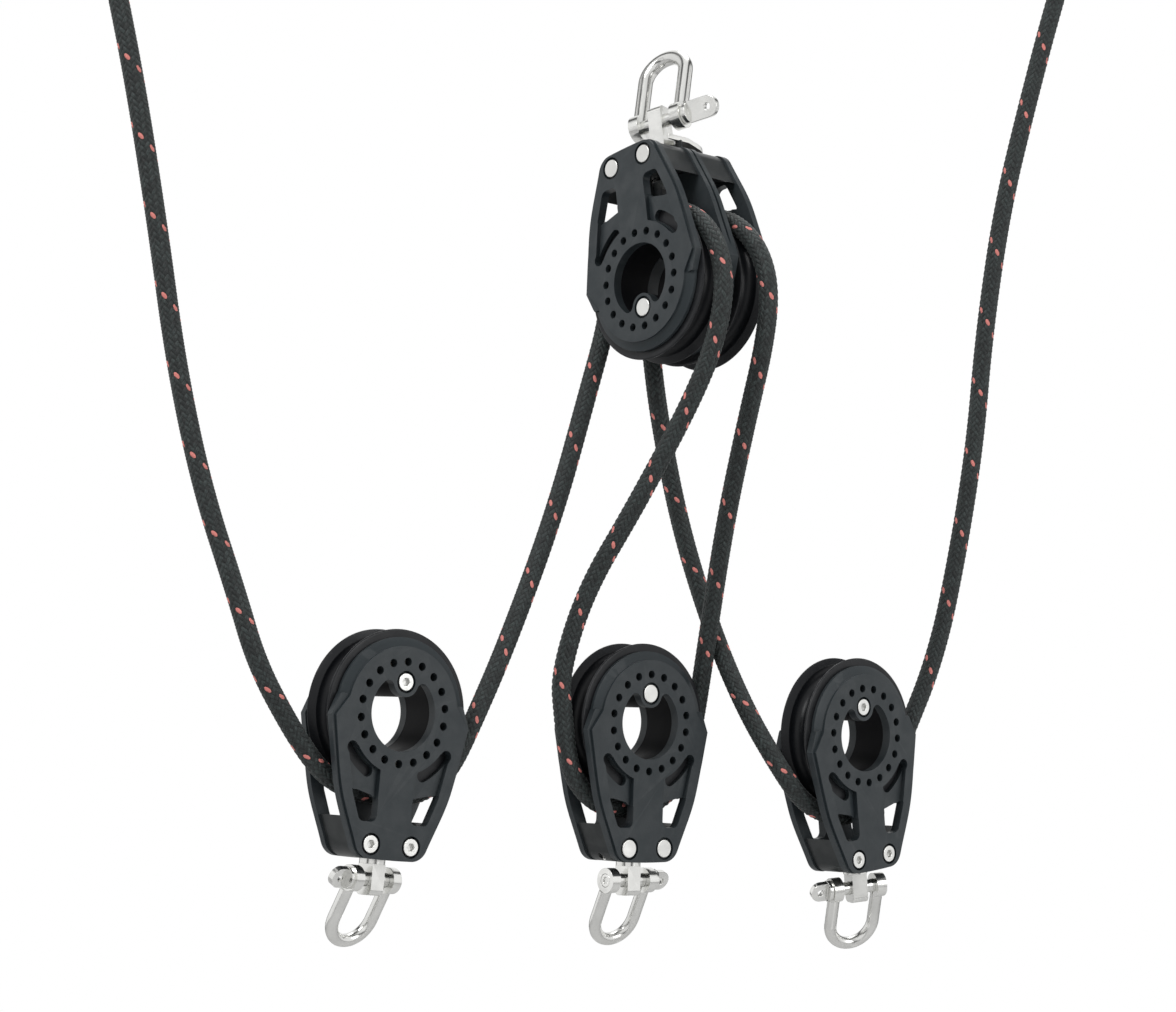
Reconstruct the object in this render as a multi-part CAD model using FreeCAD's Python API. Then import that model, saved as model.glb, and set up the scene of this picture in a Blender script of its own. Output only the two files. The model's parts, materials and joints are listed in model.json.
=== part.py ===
import FreeCAD, Part
import math
import os

# Block and tackle: a double ball bearing block on a swivel shackle, three single
# swivel blocks under it and one braided rope. Millimetres, +Z up. The origin is the
# seat of the top shackle's bow, where the tackle hangs.

Vec = FreeCAD.Vector

# Rope
rope_diameter = 7.0
groove_clearance = 0.3
smallest_rope_bend = 3.0 * rope_diameter

# Sheave
sheave_diameter = 57.0
rope_seat_depth = 2.2
rim_land = 0.7
sheave_side_gap = 0.3

# Ball bearing between hub and sheave
ball_diameter = 4.76
ball_play = 0.08
ball_circle_radius = 17.4
ball_count = 20
race_shoulder = 1.4

# Cheek
cheek_thickness = 3.5
bay_width = 13.4
face_step = 0.9
rim_show = 2.8
ring_slope_width = 3.1
ring_slope_drop = 1.4
flange_margin = 1.0
shoulder_inset = 1.2
shoulder_height = 3.0
shoulder_start_angle = -10.0
flange_shoulder_reach = 2.6
hub_opening_radius = 13.2
hub_screw_drop = 10.5
hub_lug_radius = 5.1
hub_opening_round = 2.4
drain_hole_diameter = 2.9
drain_hole_count = 18

# Head end of the cheek, measured from the hub's centre
head_height = 50.0
head_crown = 0.35
head_corner_half_width = 12.9
head_corner_round = 6.5
upper_side_half_width = 16.5
upper_side_height = 41.0
waist_half_width = 21.9
waist_height = 28.0
hip_half_width = 24.6
hip_height = 17.0

# Pockets and through openings beside the spine
pocket_depth = 1.8
spine_half_width = 7.2
pocket_border = 4.2
pocket_inner_radius = 21.2
pocket_bottom_height = 12.5
pocket_top_height = 37.4
pocket_round = 2.2
slot_inner_radius = 21.5
slot_outer_radius = 24.5
slot_start_angle = 32.0
slot_end_angle = 64.0
web_width = 4.2
window_border = 1.2
window_slant = 2.0
window_round = 1.0

# Screws and barrel nuts
fastener_spread = 8.3
fastener_height = 45.0
fastener_fit = 0.05
screw_shank_diameter = 3.8
screw_head_diameter = 6.0
screw_head_height = 2.2
screw_end_gap = 0.3
hex_key_size = 2.5
hex_key_depth = 1.4
nut_head_diameter = 6.5
nut_head_height = 1.5
nut_rim_round = 0.3
nut_sleeve_diameter = 5.2
nut_sleeve_length = 7.3
nut_cap = 0.4
recess_gap = 0.8

# Head block between the cheeks
head_block_radius = 38.5

# Swivel post
post_neck_diameter = 9.0
post_fit = 0.06
post_relief = 0.4
post_collar_diameter = 11.0
post_collar_height = 2.4
post_collar_gap = 0.25
post_collar_seat = 42.0
post_axial_play = 0.1
tang_shoulder_gap = 1.6
tang_thickness = 6.0
tang_width = 7.2
tang_round = 2.0
tang_end_wall = 5.4
set_screw_diameter = 2.4
set_screw_height = 48.25
set_screw_gap = 0.1
set_screw_key_size = 1.3
set_screw_key_depth = 1.2
set_screw_sink = 1.6

# Shackle of the single blocks
pin_diameter = 4.8
pin_fit = 0.06
shackle_wire = 4.6
shackle_pin_height = 56.8
shackle_leg_spacing = 17.5
shackle_drop = 26.3
shackle_eye_diameter = 9.0
shackle_eye_thickness = 3.8
pin_collar_diameter = 7.6
pin_collar_thickness = 1.6
pin_tab_length = 6.4
pin_tab_width = 7.2
pin_tab_thickness = 2.2
pin_tab_hole = 2.5
pin_end_recess = 0.5
pin_end_recess_diameter = 2.4

# Top of the double block
centre_plate_thickness = 5.2
centre_groove_depth = 0.6
centre_groove_width = 1.0
saddle_radius = 7.5
saddle_height = 55.0
strap_thickness = 2.0
strap_width = 11.6
strap_flat = 8.0
strap_end_drop = 3.0
strap_reach = 17.5
strap_prong = 2.0
strap_end_round = 4.5

# Top shackle
top_pin_height = 63.6
top_wire = 5.5
top_leg_spacing = 17.5
top_drop = 33.0
top_eye_diameter = 10.2
top_eye_thickness = 3.9
top_tang_thickness = 5.6
top_tang_width = 7.2
top_tab_length = 12.0
top_tab_width = 8.1
top_collar_thickness = 2.2

# Rope ends above the view
eye_bend_radius = 26.0
eye_leg = 48.0
splice_length = 34.0
splice_diameter = 10.2
splice_step = 0.35

# How each block hangs: centre from the double block's centre, then yaw, tilt and
# lean of its plane, and which side of it the screw heads are on
upper_pose = (Vec(0, 0, 0), -47.2, 12.7, 4.0)
left_pose = (Vec(-101.5, -53.1, -151.9), 38.8, -6.4, 0.0)
middle_pose = (Vec(-16.7, 10.9, -156.9), 40.0, -2.1, 0.0)
right_pose = (Vec(63.0, 40.9, -162.3), 42.7, 5.6, 0.0)
upper_swivel, upper_swing = 13.5, -21.2
left_swivel, left_swing = -9.5, -26.5
middle_swivel, middle_swing = 180.0, 25.3
right_swivel, right_swing = 21.8, -24.1
top_tab_roll = 35.0

# The tackle hangs freely: this turn about the top pin brings its weight below the pin
hang_turn = 5.1

# Sizes that follow from those above
rope_radius = rope_diameter / 2
sheave_radius = sheave_diameter / 2
rope_turn_radius = sheave_radius - rope_seat_depth
groove_radius = rope_radius + groove_clearance
sheave_width = bay_width - 2 * sheave_side_gap
ball_radius = ball_diameter / 2
race_radius = ball_radius + ball_play
inner_race_outside = ball_circle_radius - race_shoulder
outer_race_inside = ball_circle_radius + race_shoulder
flange_radius = sheave_radius - rim_show
face_radius = flange_radius - ring_slope_width
shoulder_half_width = sheave_radius - shoulder_inset
single_width = bay_width + 2 * cheek_thickness
double_width = 2 * bay_width + centre_plate_thickness + 2 * cheek_thickness
bay_offset = (bay_width + centre_plate_thickness) / 2
tang_start = head_height + tang_shoulder_gap
axis_y = Vec(0, 1, 0)
axis_z = Vec(0, 0, 1)
axis_x = Vec(1, 0, 0)

shapes = {}


def cylinder(radius, start, end, x=0.0, z=0.0):
    """A round bar along Y from y=start to y=end."""
    return Part.makeCylinder(radius, end - start, Vec(x, start, z), axis_y)


def prism(points, start, end):
    """A straight-sided prism along Y over an outline of (x, z) points."""
    corners = [Vec(x, start, z) for x, z in points]
    face = Part.Face(Part.makePolygon(corners + corners[:1]))
    return face.extrude(Vec(0, end - start, 0))


def rounded(shape, places, radius):
    """Rounds the edges along Y that stand at the given (x, z) places."""
    chosen = []
    for edge in shape.Edges:
        first = edge.Vertexes[0].Point
        last = edge.Vertexes[-1].Point
        along_y = abs(first.x - last.x) < 1e-4 and abs(first.z - last.z) < 1e-4
        if not along_y or abs(first.y - last.y) < 1e-4:
            continue
        if any(math.hypot(first.x - x, first.z - z) < 0.05 for x, z in places):
            chosen.append(edge)
    return shape.makeFillet(radius, chosen)


def polar(radius, degrees):
    angle = math.radians(degrees)
    return radius * math.cos(angle), radius * math.sin(angle)


def fused(parts):
    whole = parts[0]
    for part in parts[1:]:
        whole = whole.fuse(part)
    return whole.removeSplitter()


def half_turn(shape):
    copy = shape.copy()
    copy.rotate(Vec(0, 0, 0), axis_z, 180)
    return copy


def shifted(shape, x=0.0, y=0.0, z=0.0):
    copy = shape.copy()
    copy.translate(Vec(x, y, z))
    return copy


def fastener_places():
    return [
        (-fastener_spread, fastener_height),
        (fastener_spread, fastener_height),
        (0.0, -hub_screw_drop),
    ]


# Cheek

def outline(ring_radius, shoulder, margin):
    """The pear outline of a cheek layer as a face in the XZ plane."""
    x0, z0 = polar(ring_radius, shoulder_start_angle)
    corner = Vec(head_corner_half_width + margin, 0, head_height - head_crown)
    side = [
        Vec(shoulder, 0, shoulder_height),
        Vec(hip_half_width + margin, 0, hip_height),
        Vec(waist_half_width + margin, 0, waist_height),
        Vec(upper_side_half_width + margin, 0, upper_side_height),
        corner,
    ]
    curve = Part.BSplineCurve()
    curve.interpolate(side)
    right = [Part.makeLine(Vec(x0, 0, z0), side[0]), curve.toShape()]
    left = []
    for edge in right:
        left.append(edge.mirror(Vec(0, 0, 0), axis_x))
    crown = Part.Arc(corner, Vec(0, 0, head_height), Vec(-corner.x, 0, corner.z))
    ring = Part.Arc(Vec(x0, 0, z0), Vec(0, 0, -ring_radius), Vec(-x0, 0, z0))
    edges = right + left + [crown.toShape(), ring.toShape()]
    return Part.Face(Part.Wire(Part.__sortEdges__(edges)))


def cheek_layer(ring_radius, shoulder, margin, start, end):
    layer = outline(ring_radius, shoulder, margin).extrude(Vec(0, end - start, 0))
    layer.translate(Vec(0, start, 0))
    corner_x = head_corner_half_width + margin
    corner_z = head_height - head_crown
    return rounded(layer, [(corner_x, corner_z), (-corner_x, corner_z)], head_corner_round)


def sloped_ring():
    """The round part of the flange, which slopes away outside the raised face."""
    top = cheek_thickness - face_step
    profile = [
        (0, 0),
        (flange_radius, 0),
        (flange_radius, top - ring_slope_drop),
        (face_radius, top),
        (0, top),
    ]
    corners = [Vec(x, y, 0) for x, y in profile]
    face = Part.Face(Part.makePolygon(corners + corners[:1]))
    return face.revolve(Vec(0, 0, 0), axis_y, 360)


def head_flange():
    """The flange above the ring, out to the shoulders and up to the head."""
    layer = cheek_layer(
        flange_radius,
        shoulder_half_width + flange_shoulder_reach,
        flange_margin,
        0,
        cheek_thickness - face_step,
    )
    start_z = polar(flange_radius, shoulder_start_angle)[1]
    reach = 2 * sheave_radius
    above = [(-reach, start_z), (reach, start_z), (reach, 2 * head_height), (-reach, 2 * head_height)]
    return layer.common(prism(above, -1, cheek_thickness + 1))


def hub_opening(start, end):
    """The big opening with the screw's lug left standing in it."""
    hole = cylinder(hub_opening_radius, start, end)
    hole = hole.cut(cylinder(hub_lug_radius, start - 1, end + 1, 0, -hub_screw_drop))
    along = (hub_screw_drop ** 2 + hub_opening_radius ** 2 - hub_lug_radius ** 2) / (2 * hub_screw_drop)
    across = math.sqrt(hub_opening_radius ** 2 - along ** 2)
    return rounded(hole, [(across, -along), (-across, -along)], hub_opening_round)


def side_at(height):
    """Half width of the raised face at a height, along its straight chords."""
    chords = [
        (shoulder_height, shoulder_half_width),
        (hip_height, hip_half_width),
        (waist_height, waist_half_width),
        (upper_side_height, upper_side_half_width),
        (head_height, head_corner_half_width),
    ]
    for (low, wide), (high, narrow) in zip(chords, chords[1:]):
        if height <= high:
            break
    return wide + (narrow - wide) * (height - low) / (high - low)


def pocket(start, end):
    """One recess beside the spine: an arc below, the spine inside, the side outside."""
    low_x = math.sqrt(pocket_inner_radius ** 2 - pocket_bottom_height ** 2)
    arc_top_z = math.sqrt(pocket_inner_radius ** 2 - spine_half_width ** 2)
    middle = polar(
        pocket_inner_radius,
        math.degrees(math.atan2(pocket_bottom_height + arc_top_z, low_x + spine_half_width)),
    )
    outer_low = (side_at(pocket_bottom_height) - pocket_border, pocket_bottom_height)
    outer_waist = (side_at(waist_height) - pocket_border, waist_height)
    outer_top = (side_at(pocket_top_height) - pocket_border, pocket_top_height)
    spine_top = (spine_half_width, pocket_top_height)
    arc = Part.Arc(
        Vec(low_x, start, pocket_bottom_height),
        Vec(middle[0], start, middle[1]),
        Vec(spine_half_width, start, arc_top_z),
    )
    route = [(spine_half_width, arc_top_z), spine_top, outer_top, outer_waist, outer_low, (low_x, pocket_bottom_height)]
    edges = [arc.toShape()]
    for (x0, z0), (x1, z1) in zip(route, route[1:]):
        edges.append(Part.makeLine(Vec(x0, start, z0), Vec(x1, start, z1)))
    solid = Part.Face(Part.Wire(edges)).extrude(Vec(0, end - start, 0))
    return rounded(solid, [spine_top, outer_top, outer_low], pocket_round)


def arc_slot(start, end):
    """A slot through the cheek, concentric with the sheave, round at both ends."""
    middle_radius = (slot_inner_radius + slot_outer_radius) / 2
    half = (slot_outer_radius - slot_inner_radius) / 2
    end_angle = math.degrees(half / middle_radius)
    first = slot_start_angle + end_angle
    last = slot_end_angle - end_angle
    band = cylinder(slot_outer_radius, start, end).cut(cylinder(slot_inner_radius, start - 1, end + 1))
    reach = 3 * slot_outer_radius
    wedge = prism([(0, 0), polar(reach, first), polar(reach, (first + last) / 2), polar(reach, last)], start, end)
    ends = []
    for angle in (first, last):
        x, z = polar(middle_radius, angle)
        ends.append(cylinder(half, start, end, x, z))
    return fused([band.common(wedge)] + ends)


def window(start, end):
    """The three-cornered hole between the web and the top of the pocket."""
    inside_x = spine_half_width + window_border
    top_z = pocket_top_height - window_border
    low_inside = slot_outer_radius + web_width
    low_outside = low_inside - window_slant
    outside_low_x = side_at(low_outside) - pocket_border - window_border
    outside_top_x = side_at(top_z) - pocket_border - window_border
    corners = [
        (inside_x, low_inside),
        (outside_low_x, low_outside),
        (outside_top_x, top_z),
        (inside_x, top_z),
    ]
    return rounded(prism(corners, start, end), corners, window_round)


def cheek(recess_diameter, recess_depth, hole_diameter):
    """A cheek with its inner face at y=0 and its outer face at y=cheek_thickness."""
    body = fused([
        sloped_ring(),
        head_flange(),
        cheek_layer(face_radius, shoulder_half_width, 0, 0, cheek_thickness),
    ])
    through = (-1, cheek_thickness + 1)
    tools = [hub_opening(*through)]
    for side in (0, 1):
        for tool in (
            pocket(cheek_thickness - pocket_depth, cheek_thickness + 1),
            arc_slot(*through),
            window(*through),
        ):
            tools.append(tool.mirror(Vec(0, 0, 0), axis_x) if side else tool)
    for step in range(drain_hole_count):
        x, z = polar(ball_circle_radius, 90 + step * 360 / drain_hole_count)
        tools.append(cylinder(drain_hole_diameter / 2, through[0], through[1], x, z))
    for x, z in fastener_places():
        tools.append(cylinder(hole_diameter / 2 + fastener_fit, through[0], through[1], x, z))
        tools.append(cylinder(recess_diameter / 2 + recess_gap, cheek_thickness - recess_depth, through[1], x, z))
    return body.cut(tools).removeSplitter()


def screw_side_cheek():
    return half_turn(cheek(screw_head_diameter, screw_head_height, screw_shank_diameter))


def nut_side_cheek():
    return cheek(nut_head_diameter, nut_head_height, nut_sleeve_diameter)


# Hub, sheave and balls

def race():
    return Part.makeTorus(ball_circle_radius, race_radius, Vec(0, 0, 0), axis_y)


def hub(sleeve_reach):
    """Inner race and screw boss. sleeve_reach is how far a nut sleeve enters it."""
    half = bay_width / 2
    body = cylinder(inner_race_outside, -half, half).cut(hub_opening(-half - 1, half + 1))
    body = body.cut(race())
    body = body.cut(cylinder(screw_shank_diameter / 2 + fastener_fit, -half - 1, half + 1, 0, -hub_screw_drop))
    if sleeve_reach > 0:
        bore = nut_sleeve_diameter / 2 + fastener_fit
        body = body.cut(cylinder(bore, half - sleeve_reach, half + 1, 0, -hub_screw_drop))
    return body


def sheave():
    """Turned about Y: rope groove outside, ball race inside."""
    half = sheave_width / 2
    mouth = half - rim_land
    lip = groove_radius
    top = sheave_radius
    corners = [
        Vec(outer_race_inside, -half, 0),
        Vec(top - rim_land, -half, 0),
        Vec(top, -half + rim_land / 2, 0),
        Vec(top, -mouth, 0),
        Vec(rope_turn_radius, -lip, 0),
    ]
    bottom = Vec(rope_turn_radius - groove_radius, 0, 0)
    far = [Vec(corner.x, -corner.y, 0) for corner in reversed(corners)]
    edges = []
    for start, end in zip(corners, corners[1:]):
        edges.append(Part.makeLine(start, end))
    edges.append(Part.Arc(corners[-1], bottom, far[0]).toShape())
    for start, end in zip(far, far[1:]):
        edges.append(Part.makeLine(start, end))
    edges.append(Part.makeLine(far[-1], corners[0]))
    body = Part.Face(Part.Wire(edges)).revolve(Vec(0, 0, 0), axis_y, 360)
    return body.cut(race())


def balls():
    ring = []
    for step in range(ball_count):
        x, z = polar(ball_circle_radius, step * 360 / ball_count)
        ring.append(Part.makeSphere(ball_radius, Vec(x, 0, z)))
    return Part.makeCompound(ring)


# Screws and nuts

def screw(width):
    """Head flush with the face at y=-width/2, shank into the nut at the other side."""
    outer = -width / 2
    shank_end = width / 2 - nut_head_height - nut_cap - screw_end_gap
    head = cylinder(screw_head_diameter / 2, outer, outer + screw_head_height)
    shank = cylinder(screw_shank_diameter / 2, outer + screw_head_height, shank_end)
    key_corner = hex_key_size / math.sqrt(3)
    key = prism([polar(key_corner, 60 * step) for step in range(6)], outer - 1, outer + hex_key_depth)
    return fused([head, shank]).cut(key)


def barrel_nut(width):
    outer = width / 2
    head = cylinder(nut_head_diameter / 2, outer - nut_head_height, outer)
    head = rounded_rim(head, outer, nut_rim_round)
    sleeve_end = outer - nut_head_height - nut_sleeve_length
    sleeve = cylinder(nut_sleeve_diameter / 2, sleeve_end, outer - nut_head_height)
    bore = cylinder(screw_shank_diameter / 2 + fastener_fit, sleeve_end - 1, outer - nut_head_height - nut_cap)
    return fused([head, sleeve]).cut(bore)


def rounded_rim(shape, y, radius):
    """Rounds the closed edges that lie at one height along Y."""
    rims = []
    for edge in shape.Edges:
        box = edge.BoundBox
        if abs(box.YMin - y) < 1e-4 and abs(box.YMax - y) < 1e-4:
            rims.append(edge)
    return shape.makeFillet(radius, rims)


def at_fasteners(piece):
    return Part.makeCompound([shifted(piece, x, 0, z) for x, z in fastener_places()])


# Head block, post and set screw

def bore_along_z(diameter, start, end):
    return Part.makeCylinder(diameter / 2, end - start, Vec(0, 0, start), axis_z)


def head_region(start, end):
    layer = cheek_layer(face_radius, shoulder_half_width, 0, start, end)
    reach = 2 * sheave_radius
    above = prism([(-reach, waist_height), (reach, waist_height), (reach, 2 * head_height), (-reach, 2 * head_height)],
                  start - 1, end + 1)
    return layer.common(above).cut(cylinder(head_block_radius, start - 1, end + 1))


def head_tools(start, end, sleeve_start):
    """What is cut from a head block: shank holes, nut sleeves, post bore."""
    tools = [
        bore_along_z(post_neck_diameter + 2 * post_fit, 0, 2 * head_height),
        bore_along_z(post_collar_diameter + 2 * post_collar_gap, 0, post_collar_seat),
    ]
    for x, z in fastener_places()[:2]:
        tools.append(cylinder(screw_shank_diameter / 2 + fastener_fit, start - 1, end + 1, x, z))
        if sleeve_start < end:
            tools.append(cylinder(nut_sleeve_diameter / 2 + fastener_fit, sleeve_start, end + 1, x, z))
    return tools


def set_screw():
    """Short socket screw in the side of the head block, backed off from the post."""
    inner = post_neck_diameter / 2 + post_fit + set_screw_gap
    outer = head_corner_half_width - set_screw_sink
    body = Part.makeCylinder(set_screw_diameter / 2, outer - inner, Vec(-outer, 0, set_screw_height), axis_x)
    corner = set_screw_key_size / math.sqrt(3)
    corners = []
    for step in range(7):
        y, z = polar(corner, 60 * step)
        corners.append(Vec(-outer - 1, y, set_screw_height + z))
    key = Part.Face(Part.makePolygon(corners)).extrude(Vec(1 + set_screw_key_depth, 0, 0))
    return body.cut(key)


def set_screw_hole():
    radius = set_screw_diameter / 2 + fastener_fit
    return Part.makeCylinder(radius, 2 * head_corner_half_width, Vec(-2 * head_corner_half_width, 0, set_screw_height),
                             axis_x)


def head_block():
    half = bay_width / 2
    sleeve_start = single_width / 2 - nut_head_height - nut_sleeve_length
    body = head_region(-half, half).cut(head_tools(-half, half, sleeve_start))
    return body.cut(set_screw_hole())


def head_post(pin_height, thickness, width):
    """Collar under the head block, neck through it, tang with the pin's hole."""
    collar_top = post_collar_seat - post_axial_play
    collar = bore_along_z(post_collar_diameter, collar_top - post_collar_height, collar_top)
    neck = bore_along_z(post_neck_diameter, collar_top, tang_start)
    tang_end = pin_height + tang_end_wall
    tang = Part.makeBox(thickness, width, tang_end - tang_start, Vec(-thickness / 2, -width / 2, tang_start))
    ends = []
    for edge in tang.Edges:
        box = edge.BoundBox
        if abs(box.ZMin - tang_end) < 1e-4 and box.XLength > thickness / 2:
            ends.append(edge)
    tang = tang.makeFillet(tang_round, ends)
    hole = Part.makeCylinder(pin_diameter / 2 + pin_fit, 2 * thickness, Vec(-thickness, 0, pin_height), axis_x)
    return fused([collar, neck, tang]).cut(hole)


# Shackle, with its pin along X and its bow towards +Z, pin axis at the origin

def shackle(spacing, wire, drop, eye_diameter, eye_thickness):
    half = spacing / 2
    bend_z = drop - wire / 2 - half
    legs = [
        Part.makeLine(Vec(-half, 0, 0), Vec(-half, 0, bend_z)),
        Part.Arc(Vec(-half, 0, bend_z), Vec(0, 0, bend_z + half), Vec(half, 0, bend_z)).toShape(),
        Part.makeLine(Vec(half, 0, bend_z), Vec(half, 0, 0)),
    ]
    section = Part.Wire(Part.makeCircle(wire / 2, Vec(-half, 0, 0), axis_z))
    bow = Part.Wire(legs).makePipeShell([section], True, False)
    eyes = []
    for side in (-1, 1):
        start = side * half - eye_thickness / 2
        eyes.append(Part.makeCylinder(eye_diameter / 2, eye_thickness, Vec(start, 0, 0), axis_x))
    hole = Part.makeCylinder(pin_diameter / 2 + pin_fit, 2 * spacing, Vec(-spacing, 0, 0), axis_x)
    outside = half + eye_thickness / 2
    spot_faces = [
        Part.makeCylinder(eye_diameter / 2, wire, Vec(outside, 0, 0), axis_x),
        Part.makeCylinder(eye_diameter / 2, wire, Vec(-outside - wire, 0, 0), axis_x),
    ]
    return fused([bow] + eyes).cut([hole] + spot_faces)


def shackle_pin(spacing, eye_thickness, collar, tab_length, tab_width, roll):
    """Pin through both eyes, with a collar and a flat drilled tab at the +X end."""
    outside = (spacing + eye_thickness) / 2
    shank = Part.makeCylinder(pin_diameter / 2, 2 * outside, Vec(-outside, 0, 0), axis_x)
    shank = shank.cut(Part.makeCylinder(pin_end_recess_diameter / 2, pin_end_recess, Vec(-outside, 0, 0), axis_x))
    ring = Part.makeCylinder(pin_collar_diameter / 2, collar, Vec(outside, 0, 0), axis_x)
    tab_start = outside + collar
    round_radius = tab_width / 2
    length = tab_length - round_radius
    tab = Part.makeBox(length, pin_tab_thickness, tab_width, Vec(tab_start, -pin_tab_thickness / 2, -tab_width / 2))
    hole_x = tab_start + length
    tip = cylinder(round_radius, -pin_tab_thickness / 2, pin_tab_thickness / 2, hole_x, 0)
    tab = fused([tab, tip]).cut(cylinder(pin_tab_hole / 2, -pin_tab_thickness, pin_tab_thickness, hole_x, 0))
    tab.rotate(Vec(0, 0, 0), axis_x, roll)
    return fused([shank, ring, tab])


# Double block's own pieces

def centre_plate():
    """Two plates back to back, with a groove round the seam between them."""
    half = centre_plate_thickness / 2
    shoulder = shoulder_half_width + flange_shoulder_reach
    plate = cheek_layer(flange_radius, shoulder, flange_margin, -half, half)
    core = cheek_layer(
        flange_radius - centre_groove_depth,
        shoulder - centre_groove_depth,
        flange_margin - centre_groove_depth,
        -half - 1,
        half + 1,
    )
    band = centre_groove_width / 2
    reach = 3 * head_height
    slab = Part.makeBox(reach, 2 * band, reach, Vec(-reach / 2, -band, -reach / 2))
    plate = plate.cut(slab.cut(core))
    tools = [hub_opening(-half - 1, half + 1)]
    tools += head_tools(-half, half, half + 1)
    tools.append(cylinder(screw_shank_diameter / 2 + fastener_fit, -half - 1, half + 1, 0, -hub_screw_drop))
    return plate.cut(tools).removeSplitter()


def double_head_block(side):
    """One of the two head blocks; the rear one has a saddle behind the post for the strap."""
    inner = centre_plate_thickness / 2
    outer = inner + bay_width
    start, end = (inner, outer) if side > 0 else (-outer, -inner)
    sleeve_start = double_width / 2 - nut_head_height - nut_sleeve_length
    body = head_region(start, end)
    if side < 0:
        saddle = bore_along_z(2 * saddle_radius, post_collar_seat, saddle_height)
        reach = 2 * head_height
        keep = Part.makeBox(reach, end - start, reach, Vec(-reach / 2, start, 0))
        relief = bore_along_z(post_neck_diameter + 2 * post_relief, head_height, saddle_height + 1)
        body = fused([body, saddle.common(keep).cut(relief)])
    return body.cut(head_tools(start, end, sleeve_start))


def head_strap():
    """Forked strip over the rear bay: the post stands between its prongs, its end dips."""
    low = saddle_height
    under = [(-strap_reach, low - strap_end_drop), (-strap_flat, low), (strap_prong, low)]
    over = [(y, z + strap_thickness) for y, z in reversed(under)]
    corners = [Vec(-strap_width / 2, y, z) for y, z in under + over]
    strip = Part.Face(Part.makePolygon(corners + corners[:1])).extrude(Vec(strap_width, 0, 0))
    ends = []
    for edge in strip.Edges:
        box = edge.BoundBox
        short = box.XLength < 1e-4 and box.YLength < strap_thickness
        if short and abs(box.YMin + strap_reach) < 1e-4:
            ends.append(edge)
    strip = strip.makeFillet(strap_end_round, ends)
    relief = post_neck_diameter / 2 + post_relief
    notch = Part.makeBox(2 * relief, strap_reach, 2 * head_height, Vec(-relief, 0, 0))
    return strip.cut([bore_along_z(2 * relief, 0, 2 * head_height), notch])


# Places

def block_place(pose, head_up):
    """Placement of a block's own axes: X across, Y through the sheave, Z to the head."""
    centre, yaw, tilt, lean = pose
    yaw, tilt, lean = (math.radians(value) for value in (yaw, tilt, lean))
    outward = Vec(math.sin(yaw) * math.cos(lean), -math.cos(yaw) * math.cos(lean), math.sin(lean))
    level = Vec(math.cos(yaw), math.sin(yaw), 0)
    upright = outward.cross(level)
    side = 1 if head_up else -1
    x_axis = (level * math.cos(tilt) + upright * math.sin(tilt)) * side
    z_axis = (upright * math.cos(tilt) - level * math.sin(tilt)) * side
    x_axis.normalize()
    z_axis.normalize()
    y_axis = z_axis.cross(x_axis)
    rotation = FreeCAD.Rotation(x_axis, y_axis, z_axis, "ZXY")
    return FreeCAD.Placement(centre, rotation)


def placed(shape, placement):
    copy = shape.copy()
    copy.Placement = placement.multiply(copy.Placement)
    return copy


def turned_about_z(angle):
    return FreeCAD.Placement(Vec(0, 0, 0), FreeCAD.Rotation(axis_z, angle))


def shackle_place(block, swivel, swing, pin_height):
    at_pin = FreeCAD.Placement(Vec(0, 0, pin_height), FreeCAD.Rotation(axis_z, swivel))
    swung = FreeCAD.Placement(Vec(0, 0, 0), FreeCAD.Rotation(axis_x, swing))
    return block.multiply(at_pin).multiply(swung)


upper_block = block_place(upper_pose, True)
top_shackle_place = shackle_place(upper_block, upper_swivel, upper_swing, top_pin_height)
bow_seat = top_shackle_place.multVec(Vec(0, 0, top_drop - top_wire))


hanging = FreeCAD.Placement(Vec(0, 0, 0), FreeCAD.Rotation(top_shackle_place.Rotation.multVec(axis_x), hang_turn))


def in_frame(point):
    """A point given from the double block's centre, in the object's frame."""
    return hanging.multVec(point - bow_seat)


def hung(pose, head_up):
    """Placement in the object's frame, whose origin is the seat in the top bow."""
    place = block_place(pose, head_up)
    place.Base = place.Base - bow_seat
    return hanging.multiply(place)


upper_block = hung(upper_pose, True)
left_block = hung(left_pose, False)
middle_block = hung(middle_pose, False)
right_block = hung(right_pose, False)


def add(name, shape, placement):
    shapes[name] = placed(shape, placement)


# Single blocks

def add_single(name, block, swivel, swing, nuts_in_front):
    body = block.multiply(turned_about_z(180)) if nuts_in_front else block
    screw_cheek = shifted(screw_side_cheek(), 0, -bay_width / 2, 0)
    nut_cheek = shifted(nut_side_cheek(), 0, bay_width / 2, 0)
    front, rear = (nut_cheek, screw_cheek) if nuts_in_front else (screw_cheek, nut_cheek)
    add(name + "_front_cheek", front, body)
    add(name + "_rear_cheek", rear, body)
    sleeve_reach = nut_head_height + nut_sleeve_length - cheek_thickness
    add(name + "_hub", hub(sleeve_reach), body)
    add(name + "_head_block", head_block(), body)
    add(name + "_set_screw", set_screw(), body)
    add(name + "_screws", at_fasteners(screw(single_width)), body)
    add(name + "_barrel_nuts", at_fasteners(barrel_nut(single_width)), body)
    add(name + "_sheave", sheave(), block)
    add(name + "_balls", balls(), block)
    post = head_post(shackle_pin_height, tang_thickness, tang_width)
    add(name + "_head_post", post, block.multiply(turned_about_z(swivel)))
    place = shackle_place(block, swivel, swing, shackle_pin_height)
    bow = shackle(shackle_leg_spacing, shackle_wire, shackle_drop, shackle_eye_diameter, shackle_eye_thickness)
    add(name + "_shackle", bow, place)
    pin = shackle_pin(shackle_leg_spacing, shackle_eye_thickness, pin_collar_thickness, pin_tab_length,
                      pin_tab_width, 0)
    add(name + "_shackle_pin", pin, place)


add_single("left", left_block, left_swivel, left_swing, False)
add_single("middle", middle_block, middle_swivel, middle_swing, True)
add_single("right", right_block, right_swivel, right_swing, False)


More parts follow.
